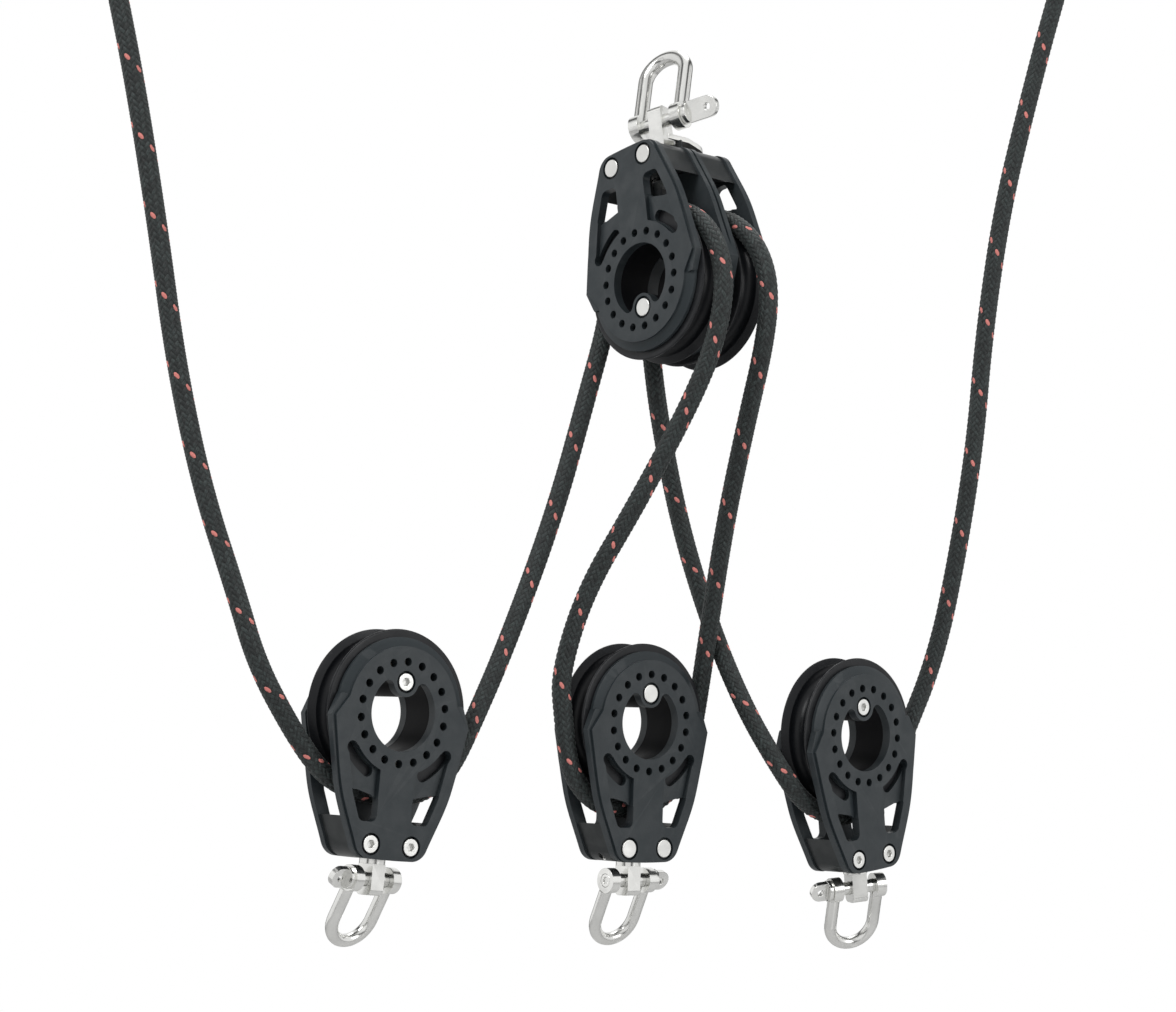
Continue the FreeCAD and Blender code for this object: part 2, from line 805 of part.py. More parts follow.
# Double block

def add_double():
    body = upper_block.multiply(turned_about_z(180))
    outer = bay_offset + bay_width / 2
    add("upper_front_cheek", shifted(nut_side_cheek(), 0, outer, 0), body)
    add("upper_rear_cheek", shifted(screw_side_cheek(), 0, -outer, 0), body)
    add("upper_centre_plate", centre_plate(), body)
    add("upper_front_head_block", double_head_block(1), body)
    add("upper_rear_head_block", double_head_block(-1), body)
    sleeve_reach = nut_head_height + nut_sleeve_length - cheek_thickness
    add("upper_front_hub", shifted(hub(sleeve_reach), 0, bay_offset, 0), body)
    add("upper_rear_hub", shifted(hub(0), 0, -bay_offset, 0), body)
    add("upper_screws", at_fasteners(screw(double_width)), body)
    add("upper_barrel_nuts", at_fasteners(barrel_nut(double_width)), body)
    add("upper_head_strap", head_strap(), body)
    for name, side in (("upper_front", -1), ("upper_rear", 1)):
        add(name + "_sheave", shifted(sheave(), 0, side * bay_offset, 0), upper_block)
        add(name + "_balls", shifted(balls(), 0, side * bay_offset, 0), upper_block)
    post = head_post(top_pin_height, top_tang_thickness, top_tang_width)
    add("upper_head_post", post, upper_block.multiply(turned_about_z(upper_swivel)))
    place = shackle_place(upper_block, upper_swivel, upper_swing, top_pin_height)
    add("top_shackle", shackle(top_leg_spacing, top_wire, top_drop, top_eye_diameter, top_eye_thickness), place)
    pin = shackle_pin(top_leg_spacing, top_eye_thickness, top_collar_thickness, top_tab_length, top_tab_width,
                      top_tab_roll)
    add("top_shackle_pin", pin, place)


add_double()


# Rope route. A point is measured from the double block's centre, or in a block's own
# axes where it is written with at(). A bend has a centre and a radius of its own in
# the block's plane and runs from the first to the last angle, counted from +X
# towards the head, in equal turns. The tackle hangs slack: over the double block the
# rope lies in the groove on top and on its left side and stands off on its right
# side, and under the single blocks it hangs clear of the sheave.
lead_length = 12.0


def free(x, y, z):
    return [(in_frame(Vec(x, y, z)), None)]


def at(block, x, z):
    return [(block.multVec(Vec(x, 0, z)), None)]


def bend(block, centre, offset, radius, first, last, turns, leads):
    """Corners of an arc in a block's plane, with a lead point at the ends named."""
    step = (last - first) / turns
    corner_radius = radius / math.cos(math.radians(abs(step) / 2))
    centre_x, centre_z = centre

    def corner(distance, angle, along=0.0):
        x, z = polar(distance, angle)
        way_x, way_z = polar(along, angle + 90)
        return block.multVec(Vec(centre_x + x + way_x, offset, centre_z + z + way_z))

    way = 1 if step > 0 else -1
    points = []
    if "first" in leads:
        points.append((corner(radius, first, -way * lead_length), None))
    for index in range(turns):
        points.append((corner(corner_radius, first + (index + 0.5) * step), radius))
    if "last" in leads:
        points.append((corner(radius, last, way * lead_length), None))
    return points


def over(block, offset, reach, left_angle, right_angle, leftwards):
    """Over a sheave: in the groove on its left, and off it to the given reach on its right."""
    sides = [
        (0.0, rope_turn_radius, left_angle, 3),
        (rope_turn_radius - reach, reach, right_angle, 4),
    ]
    if leftwards:
        sides.reverse()
    (first_z, first_radius, first, first_turns), (last_z, last_radius, last, last_turns) = sides
    rise = bend(block, (0.0, first_z), offset, first_radius, first, 90, first_turns, ("first",))
    fall = bend(block, (0.0, last_z), offset, last_radius, 90, last, last_turns, ("last",))
    return rise + fall


def under(block, depth, entry, leave):
    """Slack bight under a sheave: a bend down to its depth and a bend up from it."""
    entry_x, entry_radius, entry_angle = entry
    leave_x, leave_radius, leave_angle = leave
    down = bend(block, (entry_x, depth - entry_radius), 0, entry_radius, entry_angle, 90, 3, ("first",))
    up = bend(block, (leave_x, depth - leave_radius), 0, leave_radius, 90, leave_angle, 3, ("last",))
    return down + up


route = (
    free(-197.5, -85.0, 124.0)
    + free(-191.0, -85.0, 93.5)
    + free(-183.5, -85.0, 56.0)
    + free(-176.0, -85.0, 9.0)
    + free(-170.0, -85.0, -34.5)
    + free(-161.0, -85.0, -76.5)
    + free(-149.5, -84.5, -111.5)
    + at(left_block, 54.0, -11.0)
    + under(left_block, 28.0, (3.5, 37.7, 44.0), (-6.4, 27.7, 155.0))
    + free(-61.0, -19.0, -128.0)
    + free(-44.5, -3.0, -81.5)
    + free(-33.0, 7.5, -38.5)
    + over(upper_block, -bay_offset, 31.3, 166.0, -20.0, False)
    + free(4.5, -25.0, -42.0)
    + free(-16.0, -18.5, -80.0)
    + free(-33.5, -12.5, -109.5)
    + at(middle_block, 34.5, -16.5)
    + under(middle_block, 31.0, (5.5, 25.0, 10.0), (-0.8, 28.0, 166.5))
    + free(11.0, 22.0, -127.0)
    + free(17.0, 5.0, -84.0)
    + free(24.5, -10.5, -46.5)
    + over(upper_block, bay_offset, 34.7, 180.0, -18.0, True)
    + free(-6.5, 21.5, -46.5)
    + free(1.5, 28.5, -86.5)
    + free(13.5, 29.0, -125.0)
    + free(24.5, 19.0, -152.0)
    + under(right_block, 29.5, (1.9, 36.0, 38.0), (1.5, 30.0, 143.0))
    + free(100.0, 68.5, -133.0)
    + free(108.5, 67.5, -92.0)
    + free(115.0, 67.0, -51.0)
    + free(118.5, 67.0, -11.0)
    + free(125.5, 67.0, 36.5)
    + free(135.0, 67.0, 75.5)
    + free(146.0, 67.0, 117.0)
    + free(158.0, 67.0, 157.0)
)


def rope_edges(points):
    """Straight runs joined by tangent arcs."""
    edges = []
    here = points[0][0]
    radii = []
    for (before, _), (corner, radius), (after, _) in zip(points, points[1:], points[2:]):
        inward = (corner - before).normalize()
        onward = (after - corner).normalize()
        turn = inward.getAngle(onward)
        if radius is None:
            shorter = min((corner - before).Length, (after - corner).Length)
            radius = 0.45 * shorter / math.tan(turn / 2)
        reach = radius * math.tan(turn / 2)
        start = corner - inward * reach
        end = corner + onward * reach
        bisector = (onward - inward).normalize()
        middle = corner + bisector * (radius / math.cos(turn / 2) - radius)
        if (start - here).Length > 1e-3:
            edges.append(Part.makeLine(here, start))
        edges.append(Part.Arc(start, middle, end).toShape())
        here = end
        radii.append(radius)
    edges.append(Part.makeLine(here, points[-1][0]))
    print("rope radii:", " ".join("%.0f" % radius for radius in radii))
    print("rope: smallest radius %.1f mm, wanted at least %.1f mm" % (min(radii), smallest_rope_bend))
    return edges


def swept_round(edges, diameter):
    path = Part.Wire(edges)
    start = edges[0].Vertexes[0].Point
    along = (edges[0].Vertexes[-1].Point - start).normalize()
    section = Part.Wire(Part.makeCircle(diameter / 2, start, along))
    return path.makePipeShell([section], True, False), path.Length


def bar(start, end, radius):
    """A round bar from one point to another."""
    return Part.makeCylinder(radius, (end - start).Length, start, end - start)


def rope_eye():
    """Spliced eye with its tapered throat, from the origin up +Z, bend across X."""
    crotch_point = Vec(0, 0, splice_length)
    centre_z = splice_length + eye_leg
    spread = math.asin(eye_bend_radius / eye_leg)
    touch_x = eye_bend_radius * math.cos(spread)
    touch_z = centre_z - eye_bend_radius * math.sin(spread)
    left = Vec(-touch_x, 0, touch_z)
    right = Vec(touch_x, 0, touch_z)
    arc = Part.Arc(left, Vec(0, 0, centre_z + eye_bend_radius), right).toShape()
    section = Part.Wire(Part.makeCircle(rope_radius, left, left - crotch_point))
    bow = Part.Wire([arc]).makePipeShell([section], True, False)
    taper = Part.makeCone(rope_radius + splice_step, splice_diameter / 2, splice_length, Vec(0, 0, 0), axis_z)
    crotch = Part.makeSphere(splice_diameter / 2, crotch_point)
    return fused([taper, crotch, bar(crotch_point, left, rope_radius), bow, bar(right, crotch_point, rope_radius)])


tube, rope_length = swept_round(rope_edges(route), rope_diameter)
section_area = math.pi * rope_radius ** 2
print("rope: length %.0f mm, volume %.0f, section times length %.0f" % (rope_length, tube.Volume,
                                                                       section_area * rope_length))
shapes["rope"] = tube

for name, end_point, before in (
    ("rope_end_left", route[0][0], route[1][0]),
    ("rope_end_right", route[-1][0], route[-2][0]),
):
    away = (end_point - before).normalize()
    facing = FreeCAD.Rotation(Vec(0, 0, 1), away)
    shapes[name] = placed(rope_eye(), FreeCAD.Placement(end_point, facing))

os.makedirs("parts", exist_ok=True)
for name, shape in shapes.items():
    shape.exportStep("parts/" + name + ".step")
    print("%s: %d solids, valid %s, %.0f cubic mm" % (name, len(shape.Solids), shape.isValid(), shape.Volume))
print("bow seat from the double block's centre: %.3f %.3f %.3f" % tuple(bow_seat))
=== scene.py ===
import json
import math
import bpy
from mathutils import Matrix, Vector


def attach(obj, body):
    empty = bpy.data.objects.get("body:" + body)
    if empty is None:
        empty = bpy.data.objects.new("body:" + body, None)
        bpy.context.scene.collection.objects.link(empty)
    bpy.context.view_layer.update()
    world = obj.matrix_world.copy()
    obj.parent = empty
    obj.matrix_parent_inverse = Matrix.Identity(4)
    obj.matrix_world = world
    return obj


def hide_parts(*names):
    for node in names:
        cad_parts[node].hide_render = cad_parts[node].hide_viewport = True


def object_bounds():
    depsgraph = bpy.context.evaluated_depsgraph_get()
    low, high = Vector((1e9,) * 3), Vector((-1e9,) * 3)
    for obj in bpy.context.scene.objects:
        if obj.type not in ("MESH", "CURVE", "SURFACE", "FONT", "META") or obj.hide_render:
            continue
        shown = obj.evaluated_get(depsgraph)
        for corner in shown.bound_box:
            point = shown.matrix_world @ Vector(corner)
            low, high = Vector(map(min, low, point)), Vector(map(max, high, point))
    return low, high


bl_info = {
    "name": "Block and Tackle",
    "version": (1, 0, 0),
    "blender": (4, 5, 0),
    "location": "View3D > Sidebar > Tackle",
    "description": "Dresses a double block, three swivel blocks and the braided rope between them",
    "category": "Object",
}

import bmesh
import bpy
from bpy.props import FloatProperty, FloatVectorProperty, IntProperty, PointerProperty
from mathutils import Matrix, Vector

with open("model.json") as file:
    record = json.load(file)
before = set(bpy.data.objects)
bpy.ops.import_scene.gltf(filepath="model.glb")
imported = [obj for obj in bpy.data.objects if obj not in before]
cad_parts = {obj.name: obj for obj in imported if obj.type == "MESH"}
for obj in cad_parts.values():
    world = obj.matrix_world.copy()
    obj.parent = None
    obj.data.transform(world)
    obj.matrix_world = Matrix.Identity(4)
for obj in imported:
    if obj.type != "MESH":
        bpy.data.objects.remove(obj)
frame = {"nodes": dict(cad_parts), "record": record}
CAD_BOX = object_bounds()
RECORD = frame["record"]
BODY_OF = {node: body for body, nodes in RECORD["behaviour"]["bodies"].items() for node in nodes}
SLOT_OF = {part["node"]: part["material_slot"] for part in RECORD["subparts"]}

# Points nearer than this, in metres, are one, and faces smaller than this, in square
# metres, are dropped
MERGE = 2e-6
LEAST_FACE = 1e-11

# In degrees: faces that turn less than the first are one flat face, edges that turn more
# than the second are rounded, and more than the others they stay sharp in the shading
FLAT_ANGLE = 0.6
BEVEL_ANGLE = 34.0
SHARP_ANGLE = 35.0
TWINE_SHARP_ANGLE = 60.0
NEVER_SHARP_ANGLE = 180.0

# Steps in a rounded edge, and between two points of a smooth line
BEVEL_SEGMENTS = 2
LINE_STEPS = 10
THROAT_STEPS = 6

SENSOR_WIDTH = 36.0

# The rope's points from the left end, in metres: down to the left block, over the
# front upper sheave, under the middle block, over the rear upper sheave, under the
# right block and up to the right end.
ROPE_POINTS = (
    (-0.1935, -0.1173, 0.0208), (-0.1856, -0.1149, -0.0093), (-0.1764, -0.1120, -0.0463),
    (-0.1667, -0.1084, -0.0928), (-0.1587, -0.1051, -0.1358), (-0.1478, -0.1019, -0.1772),
    (-0.1347, -0.0986, -0.2115), (-0.1265, -0.0983, -0.2346), (-0.1157, -0.0885, -0.2539),
    (-0.1071, -0.0809, -0.2665), (-0.1006, -0.0753, -0.2720), (-0.0932, -0.0690, -0.2749),
    (-0.0776, -0.0560, -0.2755), (-0.0699, -0.0497, -0.2718), (-0.0637, -0.0448, -0.2648),
    (-0.0575, -0.0401, -0.2494), (-0.0468, -0.0307, -0.2190), (-0.0327, -0.0179, -0.1707),
    (-0.0234, -0.0104, -0.1265), (-0.0173, -0.0073, -0.0981), (-0.0170, -0.0080, -0.0802),
    (-0.0132, -0.0121, -0.0698), (-0.0067, -0.0190, -0.0627), (0.0024, -0.0287, -0.0599),
    (0.0127, -0.0392, -0.0642), (0.0204, -0.0471, -0.0747), (0.0241, -0.0506, -0.0893),
    (0.0223, -0.0483, -0.1086), (0.0148, -0.0420, -0.1306), (-0.0040, -0.0330, -0.1690),
    (-0.0203, -0.0251, -0.1988), (-0.0281, -0.0215, -0.2286), (-0.0262, -0.0193, -0.2435),
    (-0.0235, -0.0163, -0.2610), (-0.0179, -0.0112, -0.2701), (-0.0099, -0.0040, -0.2749),
    (0.0042, 0.0081, -0.2740), (0.0127, 0.0154, -0.2681), (0.0185, 0.0201, -0.2578),
    (0.0214, 0.0220, -0.2399), (0.0243, 0.0113, -0.2115), (0.0286, -0.0088, -0.1697),
    (0.0347, -0.0269, -0.1331), (0.0389, -0.0386, -0.1111), (0.0403, -0.0405, -0.0909),
    (0.0361, -0.0365, -0.0753), (0.0274, -0.0278, -0.0640), (0.0163, -0.0162, -0.0596),
    (0.0059, -0.0053, -0.0627), (-0.0013, 0.0024, -0.0720), (-0.0043, 0.0058, -0.0853),
    (-0.0015, 0.0033, -0.1040), (0.0031, 0.0045, -0.1322), (0.0128, 0.0146, -0.1712),
    (0.0266, 0.0181, -0.2089), (0.0390, 0.0103, -0.2360), (0.0514, 0.0089, -0.2557),
    (0.0606, 0.0181, -0.2674), (0.0678, 0.0251, -0.2718), (0.0757, 0.0327, -0.2731),
    (0.0832, 0.0398, -0.2712), (0.0892, 0.0454, -0.2668), (0.0940, 0.0499, -0.2602),
    (0.0995, 0.0547, -0.2453), (0.1126, 0.0595, -0.2099), (0.1192, 0.0556, -0.1687),
    (0.1238, 0.0522, -0.1276), (0.1254, 0.0493, -0.0876), (0.1302, 0.0459, -0.0399),
    (0.1379, 0.0431, -0.0006), (0.1470, 0.0402, 0.0412), (0.1571, 0.0375, 0.0816),
)

# A spliced eye, in metres from the rope's end, with Z away along the rope
EYE_POINTS = (
    (-0.0012, 0.0290), (-0.0105, 0.0500), (-0.0280, 0.0770), (-0.0218, 0.1008), (0.0, 0.1108),
    (0.0218, 0.1008), (0.0280, 0.0770), (0.0105, 0.0500), (0.0012, 0.0290))
THROAT_LENGTH = 0.036
THROAT_WIDTHS = (0.0077, 0.0102)
WHIPPING_START = 0.002
WHIPPING_TURNS = 11
TURN_STEPS = 24
TWINE_SIDES = 8

# Outlines in a block's own plane, in metres from its hub, with Z towards its head. One
# side is given and the other mirrors it.
WINDOW = ((0.00705, 0.0296), (0.01815, 0.0266), (0.01785, 0.0280), (0.01395, 0.03755), (0.00705, 0.03755))
WINDOW_ROUNDS = (0.0009, 0.0003, 0.0003, 0.0023, 0.0023)
SHOULDER = ((0.02555, -0.0043), (0.0286, 0.0030), (0.0260, 0.0155), (0.0340, 0.0170), (0.0340, -0.0060))
SLOT_RADII = (0.0214, 0.0257)
SLOT_ANGLES = (29.0, 66.0)
HEAD_BLOCK_RADIUS = 0.0408
CUT_REACH = 0.03
CORNER_STEPS = 5
ARC_STEPS = 10
ROUND_STEPS = 96

# Each plastic's roughness, how pale its edges are as wear and as a painted edge highlight, and its gloss
CHEEK_FINISH = (0.42, 0.025, 0.32)
HEAD_FINISH = (0.34, 0.02, 0.26)
WHEEL_FINISH = (0.32, 0.02, 0.22)
HUB_FINISH = (0.50, 0.005, 0.08)
BALL_FINISH = (0.22, 0.02, 0.5)
CLOUDING = 0.06

# How strongly the polishing lines show on the rods, and on the plates and heads
ROD_LINES = 0.25
PLATE_LINES = 0.5

# How proud the plait stands between its strands, where one goes under, beside or over
# another, and on top of a strand
GAP, UNDER, BESIDE, OVER, TOP = 0.1, 0.35, 0.6, 0.95, 1.0

# The plait's shading: how full a strand is across and at its ends, how proud its yarns
# are, a tracer fleck's shape and reach, and the colour deep between the strands
STRAND_FULLNESS = 0.6
END_FULLNESS = 0.45
YARN_RELIEF = 0.07
FLECK_NARROWING = 3.2
FLECK_REACH = 0.85
SHADOW_YARN = (0.002, 0.003, 0.003, 1.0)

# Where each lamp stands, its width and its share of the key lamp's power
LAMPS = {
    "key_lamp": ((-0.9, -1.1, 1.1), 0.9, 1.0),
    "fill_lamp": ((1.2, -0.8, 0.2), 0.8, 0.35),
    "top_lamp": ((0.2, 0.5, 1.5), 1.0, 0.6),
}
FLOOR_RADIUS = 2.4
WHITE = (1.0, 1.0, 1.0, 1.0)

# The dark bands that steel mirrors: the squared sideways part of their direction, how far
# from it they start to pale and end, and how much light they give
BAND_MIDDLE = 0.34
BAND_INSIDE = 0.07
BAND_OUTSIDE = 0.22
BAND_LIGHT = 0.06


class CameraSettings(bpy.types.PropertyGroup):
    place: FloatVectorProperty(
        name="Place", description="Where the camera stands", subtype="XYZ", unit="LENGTH",
        default=(0.00297, -1.13915, -0.29921))
    turn: FloatVectorProperty(
        name="Turn", description="How the camera is turned", subtype="EULER", unit="ROTATION",
        default=[math.radians(angle) for angle in (96.6936, -2.7254, 0.9054)])
    lens: FloatProperty(name="Lens", description="Focal length in millimetres", default=96.43, min=10.0)


class RopeSettings(bpy.types.PropertyGroup):
    diameter: FloatProperty(
        name="Diameter", description="Thickness of the rope", unit="LENGTH", default=0.007,
        min=0.003, max=0.012)
    strands: IntProperty(
        name="Strands", description="Strands of the braid that wind the same way", default=12, min=4, max=16)
    lay: FloatProperty(
        name="Lay", description="Length of rope in which a strand goes round once", unit="LENGTH",
        default=0.027)
    twine: FloatProperty(
        name="Twine", description="Thickness of the whipping's twine", unit="LENGTH",
        default=0.0009, min=0.0003)
    relief: FloatProperty(
        name="Relief", description="How deep the gaps between the strands are", unit="LENGTH",
        default=0.00042)
    dark: FloatVectorProperty(
        name="Dark yarn", description="Colour of most of the yarn", subtype="COLOR",
        default=(0.005, 0.008, 0.008))
    light: FloatVectorProperty(
        name="Light yarn", description="Colour of the paler yarn", subtype="COLOR",
        default=(0.048, 0.066, 0.064))
    tracer: FloatVectorProperty(
        name="Tracer", description="Colour of the tracer strand", subtype="COLOR",
        default=(0.78, 0.25, 0.22))


class MouldingSettings(bpy.types.PropertyGroup):
    edge: FloatProperty(
        name="Edge", description="How far the moulded edges are rounded", unit="LENGTH", default=0.00035)
    cheek: FloatVectorProperty(
        name="Cheek", description="Colour of the cheeks", subtype="COLOR", default=(0.019, 0.026, 0.030))
    # The head blocks are darker than the cheeks: partly their own darker plastic, partly painted shade where
    # they sit between the cheeks
    head: FloatVectorProperty(
        name="Head blocks", description="Colour of the head blocks", subtype="COLOR",
        default=(0.010, 0.013, 0.014))
    wheel: FloatVectorProperty(
        name="Sheave", description="Colour of the sheaves", subtype="COLOR", default=(0.008, 0.009, 0.011))
    hub: FloatVectorProperty(
        name="Hub", description="Colour of the hubs", subtype="COLOR", default=(0.004, 0.004, 0.005))
    ball: FloatVectorProperty(
        name="Ball", description="Colour of the bearing balls", subtype="COLOR", default=(0.62, 0.58, 0.47))


class SteelSettings(bpy.types.PropertyGroup):
    edge: FloatProperty(
        name="Edge", description="How far the steel edges are broken", unit="LENGTH", default=0.00022)
    colour: FloatVectorProperty(
        name="Colour", description="Colour of the stainless steel", subtype="COLOR",
        default=(0.72, 0.72, 0.70))
    polish: FloatProperty(
        name="Polish", description="Roughness of the polished rods", subtype="FACTOR", default=0.16,
        min=0.0, max=1.0)
    satin: FloatProperty(
        name="Satin", description="Roughness of the brushed plates and heads", subtype="FACTOR", default=0.30,
        min=0.0, max=1.0)


class StageSettings(bpy.types.PropertyGroup):
    drop: FloatProperty(
        name="Drop", description="Height of the floor under the tackle's lowest point", unit="LENGTH",
        default=0.45)
    floor: FloatVectorProperty(
        name="Floor", description="Colour of the floor", subtype="COLOR", default=(0.80, 0.80, 0.80))
    lamp: FloatProperty(
        name="Lamp", description="Power of the key lamp", subtype="POWER", unit="POWER", default=16.0)
    sky: FloatProperty(name="Sky", description="Strength of the light from all round", default=0.40)


# Shading

def shader_node(tree, kind, inputs=(), **fields):
    """Adds a node, sets its fields and feeds or fills its sockets."""
    made = tree.nodes.new(kind)
    for name, value in fields.items():
        setattr(made, name, value)
    for socket, value in dict(inputs).items():
        if isinstance(value, bpy.types.NodeSocket):
            tree.links.new(value, made.inputs[socket])
        else:
            made.inputs[socket].default_value = value
    return made


def calc(tree, operation, first, second=0.0, clamp=False):
    """One sum on two sockets or numbers."""
    made = shader_node(tree, "ShaderNodeMath", {0: first, 1: second}, operation=operation, use_clamp=clamp)
    return made.outputs[0]


def spread(tree, value, low, high, new_low=0.0, new_high=1.0):
    """Maps a value's range to another, held inside it."""
    made = shader_node(
        tree, "ShaderNodeMapRange",
        {"Value": value, "From Min": low, "From Max": high, "To Min": new_low, "To Max": new_high})
    return made.outputs["Result"]


def tint(tree, mask, first, second):
    """Mixes two colours by a mask."""
    made = shader_node(tree, "ShaderNodeMix", {"Factor": mask, 6: first, 7: second}, data_type="RGBA")
    return made.outputs[2]


def noise(tree, where, scale, detail=3.0, stretch=None):
    """Noise on a vector socket, which may be stretched along an axis first."""
    if stretch:
        where = shader_node(tree, "ShaderNodeMapping", {"Vector": where, "Scale": stretch}).outputs[0]
    made = shader_node(tree, "ShaderNodeTexNoise", {"Vector": where, "Scale": scale, "Detail": detail})
    return made.outputs["Fac"]


def opaque(colour):
    """A colour with full cover."""
    return (colour[0], colour[1], colour[2], 1.0)


def new_group(name, inputs, outputs):
    """A node group with named sockets, and its input and output nodes."""
    group = bpy.data.node_groups.new(name, "ShaderNodeTree")
    for label, kind, value in inputs:
        socket = group.interface.new_socket(label, in_out="INPUT", socket_type=kind)
        if value is not None:
            socket.default_value = value
    for label, kind in outputs:
        group.interface.new_socket(label, in_out="OUTPUT", socket_type=kind)
    return group, group.nodes.new("NodeGroupInput"), group.nodes.new("NodeGroupOutput")


def placed_group(tree, name, inputs):
    """One of the node groups, with its sockets fed or filled."""
    return shader_node(tree, "ShaderNodeGroup", inputs, node_tree=bpy.data.node_groups[name])


def new_material(name):
    """An empty material with its shader, and its object coordinates."""
    material = bpy.data.materials.new(name)
    material.use_nodes = True
    tree = material.node_tree
    tree.nodes.clear()
    surface = tree.nodes.new("ShaderNodeBsdfPrincipled")
    output = tree.nodes.new("ShaderNodeOutputMaterial")
    tree.links.new(surface.outputs[0], output.inputs["Surface"])
    place = tree.nodes.new("ShaderNodeTexCoord").outputs["Object"]
    return material, tree, surface, place


def bumped(tree, surface, height, distance, strength):
    """Feeds a height to the shader as a bump."""
    bump = shader_node(tree, "ShaderNodeBump", {"Height": height, "Distance": distance, "Strength": strength})
    tree.links.new(bump.outputs[0], surface.inputs["Normal"])


def grain_group():
    """Fine moulded or cast grain with broad, faint clouding."""
    group, given, result = new_group(
        "Surface grain",
        [("Vector", "NodeSocketVector", None), ("Scale", "NodeSocketFloat", 900.0)],
        [("Grain", "NodeSocketFloat"), ("Cloud", "NodeSocketFloat")])
    fine = noise(group, given.outputs["Vector"], given.outputs["Scale"], 2.0)
    cloud = noise(group, given.outputs["Vector"], 55.0, 4.0)
    group.links.new(fine, result.inputs["Grain"])
    group.links.new(spread(group, cloud, 0.3, 0.7), result.inputs["Cloud"])


def wear_and_highlight_group():
    """Where edges and proud places are paler, as wear and as a painted edge highlight, broken up by noise."""
    group, given, result = new_group(
        "Edge wear and highlight",
        [("Vector", "NodeSocketVector", None), ("Reach", "NodeSocketFloat", 0.56)],
        [("Wear and highlight", "NodeSocketFloat")])
    # Convex edges are paled: partly wear, partly a painted highlight where the edges catch the light
    point = group.nodes.new("ShaderNodeNewGeometry").outputs["Pointiness"]
    patch = noise(group, given.outputs["Vector"], 160.0, 5.0)
    proud = spread(group, point, 0.505, given.outputs["Reach"])
    worn_and_lit = calc(group, "MULTIPLY", proud, spread(group, patch, 0.35, 0.62, 0.35, 1.0), clamp=True)
    group.links.new(worn_and_lit, result.inputs["Wear and highlight"])


def streak_group():
    """Faint polishing lines and hand marks on steel."""
    group, given, result = new_group(
        "Polish streaks",
        [("Vector", "NodeSocketVector", None)],
        [("Streak", "NodeSocketFloat"), ("Smear", "NodeSocketFloat")])
    lines = noise(group, given.outputs["Vector"], 260.0, 3.0, (1.0, 1.0, 9.0))
    smear = noise(group, given.outputs["Vector"], 90.0, 3.0)
    group.links.new(spread(group, lines, 0.3, 0.7), result.inputs["Streak"])
    group.links.new(spread(group, smear, 0.35, 0.68), result.inputs["Smear"])


def braid_group():
    """The plait: strands that cross two over and two under, and one tracer strand."""
    group, given, result = new_group(
        "Plait",
        [("Weave", "NodeSocketVector", None), ("Strands", "NodeSocketFloat", 12.0)],
        [("Height", "NodeSocketFloat"), ("Tracer", "NodeSocketFloat"), ("Pale", "NodeSocketFloat")])
    apart = shader_node(group, "ShaderNodeSeparateXYZ", {0: given.outputs["Weave"]})
    one, other = apart.outputs[0], apart.outputs[1]
    floor_one = calc(group, "FLOOR", one)
    floor_other = calc(group, "FLOOR", other)
    part_one = calc(group, "FRACT", one)
    part_other = calc(group, "FRACT", other)
    floors = calc(group, "ADD", floor_one, floor_other)
    turn = calc(group, "FLOORED_MODULO", calc(group, "ADD", floors, 0.5), 4.0)
    top = calc(group, "LESS_THAN", turn, 2.0)
    along_one = calc(group, "FLOORED_MODULO", calc(group, "ADD", floor_one, other), 4.0)
    shifted = calc(group, "ADD", one, calc(group, "ADD", floor_other, 2.0))
    along_other = calc(group, "FLOORED_MODULO", shifted, 4.0)

    def strand(across, along):
        """A strand's height, from where a place lies across it and along its visible part."""
        arch = calc(group, "SINE", calc(group, "MULTIPLY", across, math.pi))
        hump = calc(group, "POWER", arch, STRAND_FULLNESS)
        ends = calc(group, "SINE", calc(group, "MULTIPLY", calc(group, "MINIMUM", along, 2.0), math.pi / 2))
        ends = calc(group, "POWER", calc(group, "MAXIMUM", ends, 0.0), END_FULLNESS)
        yarns = calc(group, "SINE", calc(group, "MULTIPLY", across, math.pi * 6))
        body = calc(group, "MULTIPLY", hump, ends)
        return calc(group, "ADD", body, calc(group, "MULTIPLY", yarns, YARN_RELIEF))

    over = strand(part_one, along_one)
    under = strand(part_other, along_other)
    height = shader_node(
        group, "ShaderNodeMix", {"Factor": top, 2: under, 3: over}, data_type="FLOAT").outputs[0]
    index = calc(group, "FLOORED_MODULO", calc(group, "ADD", floor_one, 0.5), given.outputs["Strands"])
    tracer = calc(group, "MULTIPLY", calc(group, "LESS_THAN", index, 1.0), top)
    middle = calc(group, "ABSOLUTE", calc(group, "SUBTRACT", along_one, 1.0))
    side = calc(group, "ABSOLUTE", calc(group, "SUBTRACT", part_one, 0.5))
    sideways = calc(group, "MULTIPLY", calc(group, "POWER", side, 2.0), FLECK_NARROWING)
    fleck = calc(group, "ADD", calc(group, "POWER", middle, 2.0), sideways)
    tracer = calc(group, "MULTIPLY", tracer, calc(group, "LESS_THAN", fleck, FLECK_REACH))
    cell = shader_node(group, "ShaderNodeCombineXYZ", {0: floor_one, 1: floor_other})
    chance = shader_node(group, "ShaderNodeTexWhiteNoise", {"Vector": cell.outputs[0]}, noise_dimensions="3D")
    fibre = noise(group, given.outputs["Weave"], 3.1, 4.0)
    pale = calc(group, "MULTIPLY", chance.outputs["Value"], spread(group, fibre, 0.35, 0.65, 0.1, 1.0))
    group.links.new(height, result.inputs["Height"])
    group.links.new(tracer, result.inputs["Tracer"])
    group.links.new(pale, result.inputs["Pale"])


